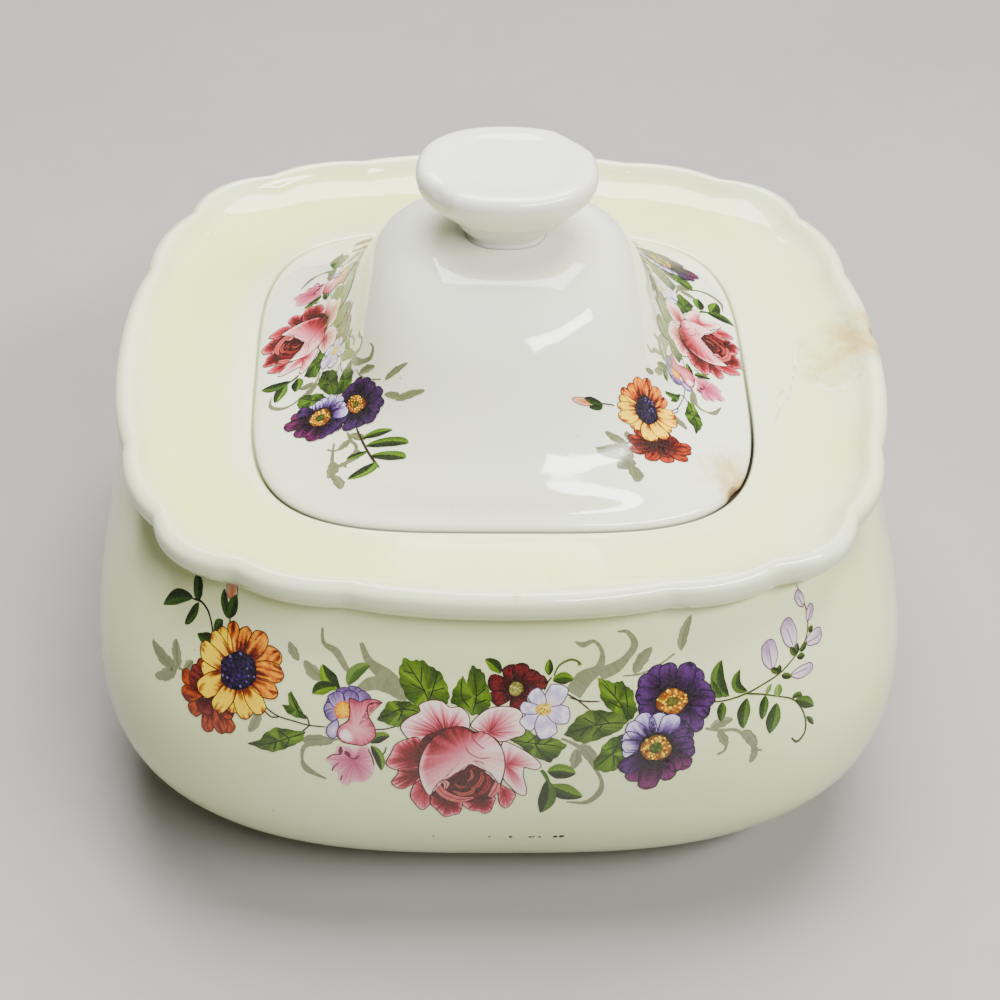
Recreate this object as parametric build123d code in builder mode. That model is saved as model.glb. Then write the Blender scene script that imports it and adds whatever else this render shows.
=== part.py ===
from build123d import *
import math
import os

# Covered butter dish in glazed earthenware: a bellied tub with a broad scalloped rim, and a
# domed lid with a knob that drops into a seat in the rim.
# Units are mm. +Z is up, the front looks along -Y, and the origin is the centre of the base.

# ---- driving dimensions -------------------------------------------------------------------
belly_x = 84.8          # half width of the tub at its widest
belly_y = 82.8          # half depth of the tub at its widest
rim_x = 79.0            # half width of the scalloped rim, before its lobes
rim_y = 73.7            # half depth of the scalloped rim
rim_power = 3.05        # squareness of the rim (2 is an ellipse)
rim_z = 80.0            # height of the rim's outermost edge
lip_rise = 2.0          # the rolled lip stands this much over that edge
wall = 5.2              # thickness of the tub wall
floor_z = 6.5           # height of the floor inside the tub
foot_h = 3.0            # height of the foot ring
foot_recess = 2.2       # hollow under the base, inside the foot ring

seat_x = 51.7           # half width of the seat that the lid drops into
seat_y = 49.4
seat_power = 3.96
seat_z = 74.4           # height of the ledge that carries the lid
mouth_x = 49.0          # half width of the opening inside the ledge
mouth_y = 46.7
mouth_power = 3.9
flange_under_z = 69.2   # underside of the rim, inside the tub

lid_gap = 0.5           # gap all round between lid and seat
lid_rest = 0.1          # glaze clearance between lid and ledge
lid_top_z = 113.0       # flat on top of the dome, where the knob is luted on
lid_lip_z = 70.4        # lower edge of the lid's locating lip
lid_lip_gap = 0.9       # gap between locating lip and opening
lid_lip_t = 3.0         # thickness of the locating lip

knob_x = 18.0           # half width of the knob's plate
knob_y = 14.2
knob_top_z = 129.0
knob_dish = 0.9         # the plate is dished by this much

up = (0, 0, 1)
section_points = 48     # points round a plain section
rim_points = 120        # points round a section that carries the scallops

# Scallops: notches at these angles from the middle of each side, and the rise of the lobe that
# follows each one. The first lobe spans the middle of the side, the third one the corner.
notch_angles = (-22.0, 22.0, 38.0, 53.0, 68.0, 112.0)
lobe_rises = (2.3, 1.1, 2.5, 1.1, 2.3)
notch_depth = 1.3

# ---- outline formulas ---------------------------------------------------------------------
def scallop(angle):
    """Outward offset of the rim at an angle in degrees: a row of round lobes with sharp notches."""
    folded = abs((angle + 90) % 180 - 90)
    for start, end, rise in zip(notch_angles, notch_angles[1:], lobe_rises):
        if folded <= end:
            return rise * math.sin(math.pi * (folded - start) / (end - start)) ** 0.85 - notch_depth


def oval_points(half_x, half_y, power, count, wave=0.0):
    """Points on a squared oval at even angles, with the scallops added at a share of their size."""
    points = []
    for i in range(count):
        angle = 2 * math.pi * i / count
        cosine, sine = math.cos(angle), math.sin(angle)
        reach = (abs(cosine / half_x) ** power + abs(sine / half_y) ** power) ** (-1 / power)
        side_angle = math.degrees(math.atan2(sine / half_y, cosine / half_x))
        grown = reach * (1 + wave * scallop(side_angle) / rim_x)
        points.append((grown * cosine, grown * sine))
    return points


def oval_section(height, half_x, half_y, power, count=section_points, wave=0.0):
    """One horizontal section, a face with a smooth closed outline."""
    with BuildSketch(Plane.XY.offset(height)) as section:
        with BuildLine():
            Spline(*oval_points(half_x, half_y, power, count, wave), periodic=True)
        make_face()
    return section.sketch.face()


# ---- sections of the castings --------------------------------------------------------------
# The tub's outside, as height, inset from the widest outline, and squareness.
tub_sections = (
    (foot_h, 17.0, 3.0),
    (7.0, 10.6, 3.1),
    (14.0, 4.9, 3.3),
    (24.0, 1.1, 3.6),
    (34.0, 0.0, 3.75),
    (46.0, 1.2, 3.7),
    (57.0, 4.6, 3.5),
    (66.0, 9.4, 3.3),
    (72.0, 13.2, 3.2),
)

# The rim above it, as height over rim_z, inset from the rim outline, and share of the scallops.
rim_sections = (
    (-5.4, 3.4, 0.5),
    (-4.0, 0.9, 0.9),
    (-2.0, 0.0, 1.0),
    (0.0, 0.0, 1.0),
    (1.2, 0.6, 1.0),
    (lip_rise, 2.0, 1.0),
)

# The dished top of the rim, as height over rim_z, share of the way from seat to rim edge, and
# share of the scallops. It starts just inside the seat and ends just above the lip.
flange_sections = (
    (-4.0, -0.015, 0.0),
    (-3.6, 0.25, 0.0),
    (-2.7, 0.52, 0.1),
    (-1.2, 0.74, 0.5),
    (0.6, 0.84, 0.9),
    (2.6, 0.89, 1.0),
)

# The lid's outside, as height, half width, half depth, and squareness.
lid_sections = (
    (77.2, 50.1, 47.8, 3.9),
    (79.5, 45.4, 45.5, 3.6),
    (82.0, 40.8, 43.5, 3.3),
    (85.0, 36.8, 40.6, 3.0),
    (90.0, 32.9, 36.3, 2.8),
    (96.0, 30.3, 31.8, 2.7),
    (102.0, 27.9, 27.4, 2.6),
    (107.0, 25.1, 22.8, 2.5),
    (111.0, 20.6, 17.4, 2.4),
    (lid_top_z, 13.5, 11.0, 2.3),
)

# The hollow under the lid, in the same terms.
lid_hollow_sections = (
    (74.2, 44.6, 42.3, 3.9),
    (78.0, 38.8, 40.4, 3.6),
    (81.5, 34.8, 37.8, 3.3),
    (86.0, 30.8, 34.2, 3.0),
    (92.0, 27.2, 29.6, 2.8),
    (99.0, 24.6, 25.0, 2.7),
    (105.0, 21.2, 19.6, 2.6),
    (108.5, 16.0, 12.6, 2.5),
)

# The knob: waisted neck, then the plate, as height, half width, half depth, and squareness.
knob_sections = (
    (lid_top_z, 6.6, 5.8, 2.5),
    (115.5, 8.2, 7.0, 2.5),
    (119.0, 11.0, 9.0, 2.45),
    (121.6, 14.6, 11.6, 2.4),
    (124.2, 17.5, 13.7, 2.35),
    (126.2, knob_x, knob_y, 2.35),
    (127.8, knob_x - 0.4, knob_y - 0.4, 2.35),
    (knob_top_z, knob_x - 2.0, knob_y - 2.0, 2.3),
)


# ---- tub -----------------------------------------------------------------------------------
with BuildPart() as dish:
    dish_outside = []
    for height, inset, power in tub_sections:
        dish_outside.append(oval_section(height, belly_x - inset, belly_y - inset, power, rim_points))
    for over, inset, share in rim_sections:
        height = rim_z + over
        dish_outside.append(oval_section(height, rim_x - inset, rim_y - inset, rim_power, rim_points, share))
    loft(dish_outside)
    # Foot ring, with the hollow under the base.
    extrude(oval_section(0, belly_x - 18.6, belly_y - 18.6, 3.3), amount=foot_h + 2, dir=up)
    foot_hollow = oval_section(0, belly_x - 24.5, belly_y - 24.5, 3.3)
    extrude(foot_hollow, amount=foot_recess, dir=up, mode=Mode.SUBTRACT)
    # Dished top of the rim.
    flange_top = []
    for over, share, wave in flange_sections:
        half_x = seat_x + share * (rim_x - seat_x)
        half_y = seat_y + share * (rim_y - seat_y)
        power = seat_power + share * (rim_power - seat_power)
        flange_top.append(oval_section(rim_z + over, half_x, half_y, power, rim_points, wave))
    loft(flange_top, mode=Mode.SUBTRACT)
    # Seat for the lid, and the opening inside its ledge.
    seat = oval_section(seat_z, seat_x, seat_y, seat_power)
    extrude(seat, amount=rim_z + lip_rise + 1 - seat_z, dir=up, mode=Mode.SUBTRACT)
    mouth = oval_section(flange_under_z - 2, mouth_x, mouth_y, mouth_power)
    extrude(mouth, amount=seat_z - flange_under_z + 4, dir=up, mode=Mode.SUBTRACT)
    # The well follows the outside at the wall's thickness, and closes in under the rim.
    well = [oval_section(floor_z, 60.0, 58.0, 3.2), oval_section(9.0, 68.6, 66.6, 3.4)]
    for height, inset, power in tub_sections[2:7]:
        well.append(oval_section(height, belly_x - inset - wall, belly_y - inset - wall, power))
    well.append(oval_section(63.5, 70.2, 68.2, 3.4))
    well.append(oval_section(67.4, 63.0, 61.0, 3.5))
    well.append(oval_section(flange_under_z, 50.0, 48.0, 3.8))
    loft(well, mode=Mode.SUBTRACT)

dish.part.label = "dish"

# ---- lid -----------------------------------------------------------------------------------
lid_edge_x = seat_x - lid_gap
lid_edge_y = seat_y - lid_gap
lip_x = mouth_x - lid_lip_gap
lip_y = mouth_y - lid_lip_gap

with BuildPart() as lid:
    lid_outside = [
        oval_section(seat_z + lid_rest, lid_edge_x - 0.6, lid_edge_y - 0.6, seat_power),
        oval_section(seat_z + 1.1, lid_edge_x, lid_edge_y, seat_power),
        oval_section(seat_z + 2.0, lid_edge_x - 0.2, lid_edge_y - 0.2, seat_power),
    ]
    for height, half_x, half_y, power in lid_sections:
        lid_outside.append(oval_section(height, half_x, half_y, power))
    loft(lid_outside)
    # Locating lip that keeps the lid from sliding off its ledge.
    lip = oval_section(lid_lip_z, lip_x, lip_y, mouth_power)
    extrude(lip, amount=seat_z - lid_lip_z + 2, dir=up)
    lip_hollow = oval_section(lid_lip_z, lip_x - lid_lip_t, lip_y - lid_lip_t, mouth_power)
    extrude(lip_hollow, amount=seat_z - lid_lip_z + 1, dir=up, mode=Mode.SUBTRACT)
    lid_hollow = []
    for height, half_x, half_y, power in lid_hollow_sections:
        lid_hollow.append(oval_section(height, half_x, half_y, power))
    loft(lid_hollow, mode=Mode.SUBTRACT)

lid.part.label = "lid"

# ---- knob ----------------------------------------------------------------------------------
with BuildPart() as lid_knob:
    knob_outside = []
    for height, half_x, half_y, power in knob_sections:
        knob_outside.append(oval_section(height, half_x, half_y, power))
    loft(knob_outside)
    # Shallow dish in the top of the plate.
    dish_bottom = oval_section(knob_top_z - knob_dish, knob_x - 9.0, knob_y - 8.0, 2.3)
    dish_top = oval_section(knob_top_z + 0.2, knob_x - 2.8, knob_y - 2.8, 2.3)
    loft([dish_bottom, dish_top], mode=Mode.SUBTRACT)

lid_knob.part.label = "lid_knob"

os.makedirs("parts", exist_ok=True)
export_step(dish.part, "parts/dish.step")
export_step(lid.part, "parts/lid.step")
export_step(lid_knob.part, "parts/lid_knob.step")
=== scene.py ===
"""Covered butter dish in glazed earthenware: castings, printed garlands, stage and camera."""

import math

import bpy
import numpy as np
from mathutils import Matrix, Vector


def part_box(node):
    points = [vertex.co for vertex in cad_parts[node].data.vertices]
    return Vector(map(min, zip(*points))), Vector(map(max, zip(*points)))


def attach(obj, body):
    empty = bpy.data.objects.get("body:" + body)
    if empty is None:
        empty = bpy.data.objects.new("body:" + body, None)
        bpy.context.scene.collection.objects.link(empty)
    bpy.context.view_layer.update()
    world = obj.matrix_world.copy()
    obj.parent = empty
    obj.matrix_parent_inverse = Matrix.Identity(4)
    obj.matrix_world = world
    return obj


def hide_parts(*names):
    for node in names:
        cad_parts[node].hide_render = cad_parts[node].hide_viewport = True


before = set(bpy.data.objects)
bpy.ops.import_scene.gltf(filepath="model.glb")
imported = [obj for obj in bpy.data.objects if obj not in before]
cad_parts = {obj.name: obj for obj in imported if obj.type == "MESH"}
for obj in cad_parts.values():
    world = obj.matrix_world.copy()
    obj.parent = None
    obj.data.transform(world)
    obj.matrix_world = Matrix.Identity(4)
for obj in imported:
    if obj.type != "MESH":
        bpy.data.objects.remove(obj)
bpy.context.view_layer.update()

bl_info = {
    "name": "Covered butter dish",
    "version": (1, 0, 0),
    "blender": (4, 5, 0),
    "location": "View3D > Sidebar > Butter dish",
    "description": "Builds the glazed castings and printed garlands of a covered butter dish",
    "category": "Object",
}

MM = 0.001
RING_POINTS = 400           # vertices round the tub and the lid
KNOB_RING_POINTS = 200      # vertices round the knob


# ---- sizes ----------------------------------------------------------------------------------
# Sections are in millimetres. The belly, and the heights of the rim, the lid and the knob, come from
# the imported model's boxes.
dish_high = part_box("dish")[1]
lid_low, lid_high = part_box("lid")
knob_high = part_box("lid_knob")[1]

BELLY_X = dish_high[0] / MM
BELLY_Y = dish_high[1] / MM
LIP_RISE = 2.0
RIM_Z = dish_high[2] / MM - LIP_RISE
RIM_X, RIM_Y, RIM_POWER = 79.0, 73.7, 3.05
SEAT_X, SEAT_Y, SEAT_POWER, SEAT_Z = 51.7, 49.4, 3.96, 74.4
MOUTH_X, MOUTH_Y, MOUTH_POWER = 49.0, 46.7, 3.9
FLANGE_UNDER_Z = 69.2
FLOOR_X, FLOOR_Y, FLOOR_Z = 57.0, 55.0, 6.5
WALL = 5.2
FOOT_INSET, FOOT_POWER = 18.6, 3.3
BASE_HOLLOW_INSET, BASE_HOLLOW_Z = 24.5, 2.2
LID_GAP = 0.5               # between the lid's edge and its seat
LIP_GAP, LIP_WIDTH = 0.9, 3.0
LID_EDGE_X, LID_EDGE_Y = SEAT_X - LID_GAP, SEAT_Y - LID_GAP
DOME_HOLLOW_Z = 108.6
LID_TOP_Z = lid_high[2] / MM
LID_LOW_Z = lid_low[2] / MM
KNOB_X, KNOB_Y = 18.0, 14.2
KNOB_TOP_Z = knob_high[2] / MM
KNOB_HOLLOW_Z = 128.0

# Sections of the tub's outside: height, inset from the belly, and squareness.
TUB_FOOT_SECTIONS = ((3.4, 17.6, 3.0), (4.7, 14.4, 3.05), (7.0, 10.6, 3.1))
TUB_WALL_SECTIONS = ((14.0, 4.9, 3.3), (24.0, 1.1, 3.6), (34.0, 0.0, 3.75), (46.0, 1.2, 3.7),
                     (57.0, 4.6, 3.5))
TUB_NECK_SECTIONS = ((66.0, 9.4, 3.3), (72.0, 13.2, 3.2))

NOTCH_ANGLES = (-22.0, 22.0, 38.0, 53.0, 68.0, 112.0)
LOBE_RISES = (2.3, 1.1, 2.5, 1.1, 2.3)
NOTCH_DEPTH = 1.3

# Lifts of the prints over the glaze in mm, the depth of their colours, the heights in mm where the
# garlands' zero lines lie, and the share of a ring that a chart covers each way from its middle.
PRINT_BASE = 0.05
PRINT_LAYER = 0.012
DISH_PRINT_DEPTH, LID_PRINT_DEPTH = 1.28, 1.62
DISH_PRINT_Z, LID_PRINT_Z = 34.0, SEAT_Z + 1.5
CHART_REACH = 0.24

# Garlands: side, heading of the middle in degrees, seed, and shift across and up in mm.
DISH_GARLANDS = (("front", 270, 11, (0.0, 0.0)), ("back", 90, 12, (0.0, 0.0)))
LID_GARLANDS = (("left", 180, 13, (2.8, 3.8)), ("right", 0, 14, (10.0, 2.6)))

# Age marks: places on the castings in mm, with a radius and a strength or a depth.
RIM_STAINS = (
    ((77.0, 7.0, 80.0), 11.0, 0.9), ((71.0, 2.0, 78.0), 10.0, 0.7), ((80.5, 8.0, 81.5), 3.0, 1.1),
    ((1.0, -73.4, 81.8), 1.2, 0.9),
)
RIM_CHIPS = (((81.6, 8.5, 81.5), 3.6, 1.5),)
LID_STAINS = (((45.6, -34.0, 77.4), 8.0, 0.85), ((47.0, -35.6, 76.6), 2.6, 1.3),
              ((45.0, -39.2, 76.4), 1.8, 1.3))
LID_CHIPS = (((46.8, -38.2, 76.0), 3.0, 1.0),)
KNOB_DENTS = (((-14.6, -8.6, 127.5), 5.0, 1.3), ((14.0, 9.0, 127.5), 5.0, 0.6))
# Hairlines in the rim, as distance along it from the middle of the right side, and out from the seat.
RIM_HAIRLINES = (
    ((-20, -2), (-14, -3), (-8, -6), (0, -8), (6, -9), (12, -9.6)),
    ((-8, -6), (-5, -4.4), (-1, -3.8)), ((-12, -3.6), (-9, -3.4), (-6.5, -4.8)),
    ((-1, -24), (-6, -21), (-8, -16), (-5, -13), (2, -12.4)),
)
HAIRLINE_WIDTH, HAIRLINE_LIFT, HAIRLINE_SEED = 0.42, 0.04, 21
RIM_TOP_DROP, RIM_TOP_INSET = 4.2, 4        # the part of the rim's top that the hairlines cross
HAIRLINE_ZERO_DROP = 3.9

# The camera, the two lights and the table, in metres and radians; lens and sensor are in mm.
CAMERA_PLACE = (-0.01606, -0.39148, 0.39503)
CAMERA_HEADING, CAMERA_PITCH, CAMERA_ROLL = -0.0426, 0.7365, 0.0318
CAMERA_LENS, CAMERA_SENSOR, CAMERA_NEAR = 86.31, 36, 0.01
WINDOW_PLACE, WINDOW_AIM, WINDOW_SIZE = (0.40, -0.47, 0.76), (0, 0, 0.09), (0.74, 0.11)
OVERHEAD_PLACE, OVERHEAD_AIM, OVERHEAD_SIZE = (0.05, 0.30, 1.1), (0, 0, 0.05), (0.9, 0.7)
TABLE_SIZE = 6


# ---- surface tools --------------------------------------------------------------------------
def scallop(angles):
    """Outward offset of the rim in mm at angles in degrees: round lobes between sharp notches."""
    folded = np.abs((angles + 90) % 180 - 90)
    offset = np.zeros_like(folded)
    for start, end, rise in zip(NOTCH_ANGLES, NOTCH_ANGLES[1:], LOBE_RISES):
        inside = (folded >= start) & (folded <= end)
        turn = np.clip((folded - start) / (end - start), 0, 1)
        lobe = rise * np.sin(np.pi * turn) ** 0.85 - NOTCH_DEPTH
        offset = np.where(inside, lobe, offset)
    return offset


def ring_points(ring, angles):
    """Points of one horizontal ring, in mm: a squared oval with a share of the scallops."""
    height, half_x, half_y, power, wave = ring
    cosine, sine = np.cos(angles), np.sin(angles)
    reach = (np.abs(cosine / half_x) ** power + np.abs(sine / half_y) ** power) ** (-1 / power)
    side_angle = np.degrees(np.arctan2(sine / half_y, cosine / half_x))
    reach = reach * (1 + wave * scallop(side_angle) / RIM_X)
    return np.stack([reach * cosine, reach * sine, np.full_like(angles, height)], axis=-1)


def smooth_rings(controls, step):
    """Rings along a natural cubic spline through control rings, about step mm apart."""
    knots = np.array(controls, float)
    spans = np.hypot(np.diff(knots[:, 0]), np.diff(knots[:, 1])) + 0.02
    along = np.concatenate([[0], np.cumsum(spans)])
    count = len(knots)
    system = np.zeros((count, count))
    right = np.zeros_like(knots)
    system[0, 0] = system[-1, -1] = 1
    for i in range(1, count - 1):
        before, after = along[i] - along[i - 1], along[i + 1] - along[i]
        system[i, i - 1:i + 2] = before, 2 * (before + after), after
        right[i] = 6 * ((knots[i + 1] - knots[i]) / after - (knots[i] - knots[i - 1]) / before)
    bends = np.linalg.solve(system, right)
    rings = [tuple(knots[0])]
    for i in range(count - 1):
        span = along[i + 1] - along[i]
        parts = max(1, round(span / step))
        for k in range(1, parts + 1):
            share = k / parts
            rest = 1 - share
            ring = rest * knots[i] + share * knots[i + 1]
            bend = (rest ** 3 - rest) * bends[i] + (share ** 3 - share) * bends[i + 1]
            ring = ring + span ** 2 / 6 * bend
            rings.append(tuple(ring))
    return rings


def shell_mesh(name, rings, start_apex, end_apex, count=RING_POINTS):
    """A closed mesh through a list of rings, with a point in the middle of its first and last one."""
    angles = np.arange(count) * 2 * np.pi / count
    points = np.concatenate([ring_points(ring, angles) for ring in rings])
    apexes = np.array([(0, 0, start_apex), (0, 0, end_apex)])
    points = np.concatenate([points, apexes]) * MM
    first, last = len(points) - 2, len(points) - 1
    faces = []
    for row in range(len(rings) - 1):
        base = row * count
        for i in range(count):
            after = (i + 1) % count
            faces.append((base + i, base + after, base + count + after, base + count + i))
    top = (len(rings) - 1) * count
    for i in range(count):
        after = (i + 1) % count
        faces.append((first, after, i))
        faces.append((last, top + i, top + after))
    mesh = bpy.data.meshes.new(name)
    mesh.from_pydata(points.tolist(), [], faces)
    mesh.validate()
    mesh.shade_smooth()
    return mesh


def add_piece(name, mesh, material, body, slot, *nodes):
    """Puts a mesh in the scene as a piece that rides on a body and stands for its CAD nodes."""
    piece = bpy.data.objects.new(name, mesh)
    bpy.context.scene.collection.objects.link(piece)
    mesh.materials.append(material)
    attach(piece, body)
    if nodes:
        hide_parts(*nodes)
    return piece


# ---- castings ---------------------------------------------------------------------------------
def dish_outside_rings():
    """The tub's outside from its foot to the rolled lip, then the dished top of the rim."""
    controls = []
    for height, inset, power in TUB_FOOT_SECTIONS + TUB_WALL_SECTIONS + TUB_NECK_SECTIONS:
        controls.append((height, BELLY_X - inset, BELLY_Y - inset, power, 0.0))
    for over, inset, wave in (
        (-5.4, 3.4, 0.5), (-4.0, 0.9, 0.9), (-2.0, 0.0, 1.0), (0.0, 0.0, 1.0), (1.2, 0.6, 1.0),
        (1.9, 1.8, 1.0),
    ):
        controls.append((RIM_Z + over, RIM_X - inset, RIM_Y - inset, RIM_POWER, wave))
    for over, share, wave in (
        (2.0, 0.9, 1.0), (1.5, 0.865, 0.95), (0.3, 0.825, 0.85), (-1.2, 0.74, 0.5), (-2.7, 0.52, 0.1),
        (-3.6, 0.25, 0.0), (-3.95, 0.02, 0.0),
    ):
        half_x = SEAT_X + share * (RIM_X - SEAT_X)
        half_y = SEAT_Y + share * (RIM_Y - SEAT_Y)
        power = SEAT_POWER + share * (RIM_POWER - SEAT_POWER)
        controls.append((RIM_Z + over, half_x, half_y, power, wave))
    return smooth_rings(controls, 1.5)


def plain_rings(*rows):
    """Rings given as height, half width, half depth and power, with no scallops."""
    return [tuple(row) + (0.0,) for row in rows]


def edge_rings(half_x, half_y, power, *rows):
    """Plain rings given as height and distance outside one section, for rounded edges."""
    return plain_rings(*((height, half_x + over, half_y + over, power) for height, over in rows))


def dish_rings():
    """The whole tub: hollow base, foot ring, outside, rim, seat, ledge, mouth and well."""
    foot_x, foot_y = BELLY_X - FOOT_INSET, BELLY_Y - FOOT_INSET
    hollow_x, hollow_y = BELLY_X - BASE_HOLLOW_INSET, BELLY_Y - BASE_HOLLOW_INSET
    shares = (0.25, 0.5, 0.75, 0.95)
    base = plain_rings(*((BASE_HOLLOW_Z, hollow_x * share, hollow_y * share,
                          FOOT_POWER) for share in shares))
    base += edge_rings(hollow_x, hollow_y, FOOT_POWER, (2.1, -0.6), (1.6, -0.1), (0.5, 0.0), (0.1, 0.5),
                       (0.0, 1.2))
    base += edge_rings(foot_x, foot_y, FOOT_POWER, (0.0, -1.2), (0.15, -0.5), (0.6, 0.0), (2.4, 0.0),
                       (3.0, 0.4))
    seat = edge_rings(
        SEAT_X, SEAT_Y, SEAT_POWER,
        (RIM_Z - RIM_TOP_DROP, 0.0), (SEAT_Z + 0.5, 0.0), (SEAT_Z + 0.1, -0.15), (SEAT_Z, -0.6),
    )
    mouth = edge_rings(
        MOUTH_X, MOUTH_Y, MOUTH_POWER,
        (SEAT_Z, 0.7), (SEAT_Z - 0.2, 0.2), (SEAT_Z - 0.8, 0.0), (FLANGE_UNDER_Z + 1.4, 0.0),
        (FLANGE_UNDER_Z + 0.4, 0.3),
    )
    well = [
        (FLANGE_UNDER_Z, MOUTH_X + 1.2, MOUTH_Y + 1.2, 3.8), (67.4, 63.0, 61.0, 3.5),
        (63.5, 70.2, 68.2, 3.4),
    ]
    for height, inset, power in reversed(TUB_WALL_SECTIONS):
        well.append((height, BELLY_X - inset - WALL, BELLY_Y - inset - WALL, power))
    well += [(9.0, 68.0, 66.0, 3.2), (6.9, 62.0, 60.0, 3.15), (FLOOR_Z, FLOOR_X, FLOOR_Y, 3.1)]
    floor = plain_rings(*((FLOOR_Z, FLOOR_X * share, FLOOR_Y * share, 3.2) for share in (0.75, 0.5, 0.25)))
    return base + dish_outside_rings() + seat + mouth + smooth_rings(plain_rings(*well), 2.5) + floor


def lid_outside_rings():
    """The lid's outside from its edge up to the flat on the dome."""
    controls = edge_rings(LID_EDGE_X, LID_EDGE_Y, SEAT_POWER, (SEAT_Z + 1.5, -0.02), (SEAT_Z + 2.2, -0.45))
    controls += plain_rings(
        (77.4, 49.7, 47.5, 3.9), (79.5, 45.4, 45.5, 3.6), (82.0, 40.8, 43.5, 3.3),
        (85.0, 36.8, 40.6, 3.0), (90.0, 32.9, 36.3, 2.8), (96.0, 30.3, 31.8, 2.7),
        (102.0, 27.9, 27.4, 2.6), (107.0, 25.1, 22.8, 2.5), (111.0, 20.6, 17.4, 2.4),
        (112.6, 16.0, 13.4, 2.35), (LID_TOP_Z, 11.5, 9.4, 2.3),
    )
    return smooth_rings(controls, 0.8)


def lid_rings():
    """The whole lid: hollow, locating lip, edge and dome, from the inside out."""
    lip_x, lip_y = MOUTH_X - LIP_GAP, MOUTH_Y - LIP_GAP
    inner_x, inner_y = lip_x - LIP_WIDTH, lip_y - LIP_WIDTH
    hollow = plain_rings(
        (108.5, 6.0, 4.8, 2.4), (108.2, 12.0, 9.4, 2.45), (107.6, 16.5, 13.0, 2.5),
        (105.0, 21.2, 19.6, 2.6),
        (99.0, 24.6, 25.0, 2.7), (92.0, 27.2, 29.6, 2.8), (86.0, 30.8, 34.2, 3.0), (81.5, 34.8, 37.8, 3.3),
        (78.0, 38.8, 40.4, 3.6), (75.4, 43.2, 41.9, 3.85),
    )
    lip = edge_rings(
        inner_x, inner_y, MOUTH_POWER, (LID_LOW_Z + 0.7, 0.0), (LID_LOW_Z + 0.15, 0.25), (LID_LOW_Z, 0.9),
    )
    lip += edge_rings(
        lip_x, lip_y, MOUTH_POWER,
        (LID_LOW_Z, -0.9), (LID_LOW_Z + 0.15, -0.25), (LID_LOW_Z + 0.7, 0.0), (SEAT_Z - 0.2, 0.0),
        (SEAT_Z + 0.1, 0.3),
    )
    edge = edge_rings(
        LID_EDGE_X, LID_EDGE_Y, SEAT_POWER, (SEAT_Z + 0.1, -0.9), (SEAT_Z + 0.3, -0.35),
        (SEAT_Z + 0.8, -0.05),
    )
    return smooth_rings(hollow, 2.0) + lip + edge + lid_outside_rings()


def knob_rings():
    """The knob: tapered neck, plate with a rolled edge, and the shallow dish in its top."""
    neck = plain_rings(
        (LID_TOP_Z + 0.05, 8.3, 7.2, 2.5), (LID_TOP_Z + 0.4, 7.8, 6.8, 2.5), (115.5, 9.1, 7.8, 2.5),
        (118.0, 10.9, 9.1, 2.45), (119.2, 11.9, 9.8, 2.45),
    )
    plate = plain_rings(
        (119.5, 12.6, 10.3, 2.4), (121.6, 15.0, 11.9, 2.35), (124.2, 17.4, 13.6, 2.3),
        (126.2, KNOB_X, KNOB_Y, 2.3),
        (127.6, KNOB_X - 0.3, KNOB_Y - 0.3, 2.3), (128.6, KNOB_X - 1.1, KNOB_Y - 1.1, 2.3),
        (KNOB_TOP_Z, KNOB_X - 2.4, KNOB_Y - 2.3, 2.3), (128.8, KNOB_X - 4.6, KNOB_Y - 4.2, 2.3),
        (128.3, KNOB_X - 8.4, KNOB_Y - 7.0, 2.3), (128.05, 4.0, 3.0, 2.3),
    )
    return smooth_rings(neck, 0.5) + smooth_rings(plate, 0.5)


# ---- painted print: patches in spray coordinates, in mm, laid on a casting ----------------------
def mix(first, second, share):
    """Blend of two colours, or of arrays of colours, by a share from 0 to 1."""
    share = np.clip(np.asarray(share, float), 0, 1)[..., None]
    return np.asarray(first, float) * (1 - share) + np.asarray(second, float) * share


def linear_color(color):
    """Display colour to the linear values that the shader takes."""
    color = np.clip(np.asarray(color, float), 0, 1)
    return np.where(color <= 0.04045, color / 12.92, ((color + 0.055) / 1.055) ** 2.4)


def smooth_line(points, closed, per_span=8):
    """Points along a smooth curve through a few given points."""
    knots = np.array(points, float)
    count = len(knots)
    if closed:
        knots = np.concatenate([knots[-1:], knots, knots[:2]])
    else:
        knots = np.concatenate([2 * knots[:1] - knots[1:2], knots, 2 * knots[-1:] - knots[-2:-1]])
    line = []
    for i in range(1, count + 1 if closed else count):
        before, here, after, beyond = knots[i - 1:i + 3]
        for k in range(per_span):
            t = k / per_span
            line.append(0.5 * (
                2 * here + (after - before) * t + (2 * before - 5 * here + 4 * after - beyond) * t ** 2
                + (3 * here - before - 3 * after + beyond) * t ** 3
            ))
    if not closed:
        line.append(knots[-2])
    return np.array(line)


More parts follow.
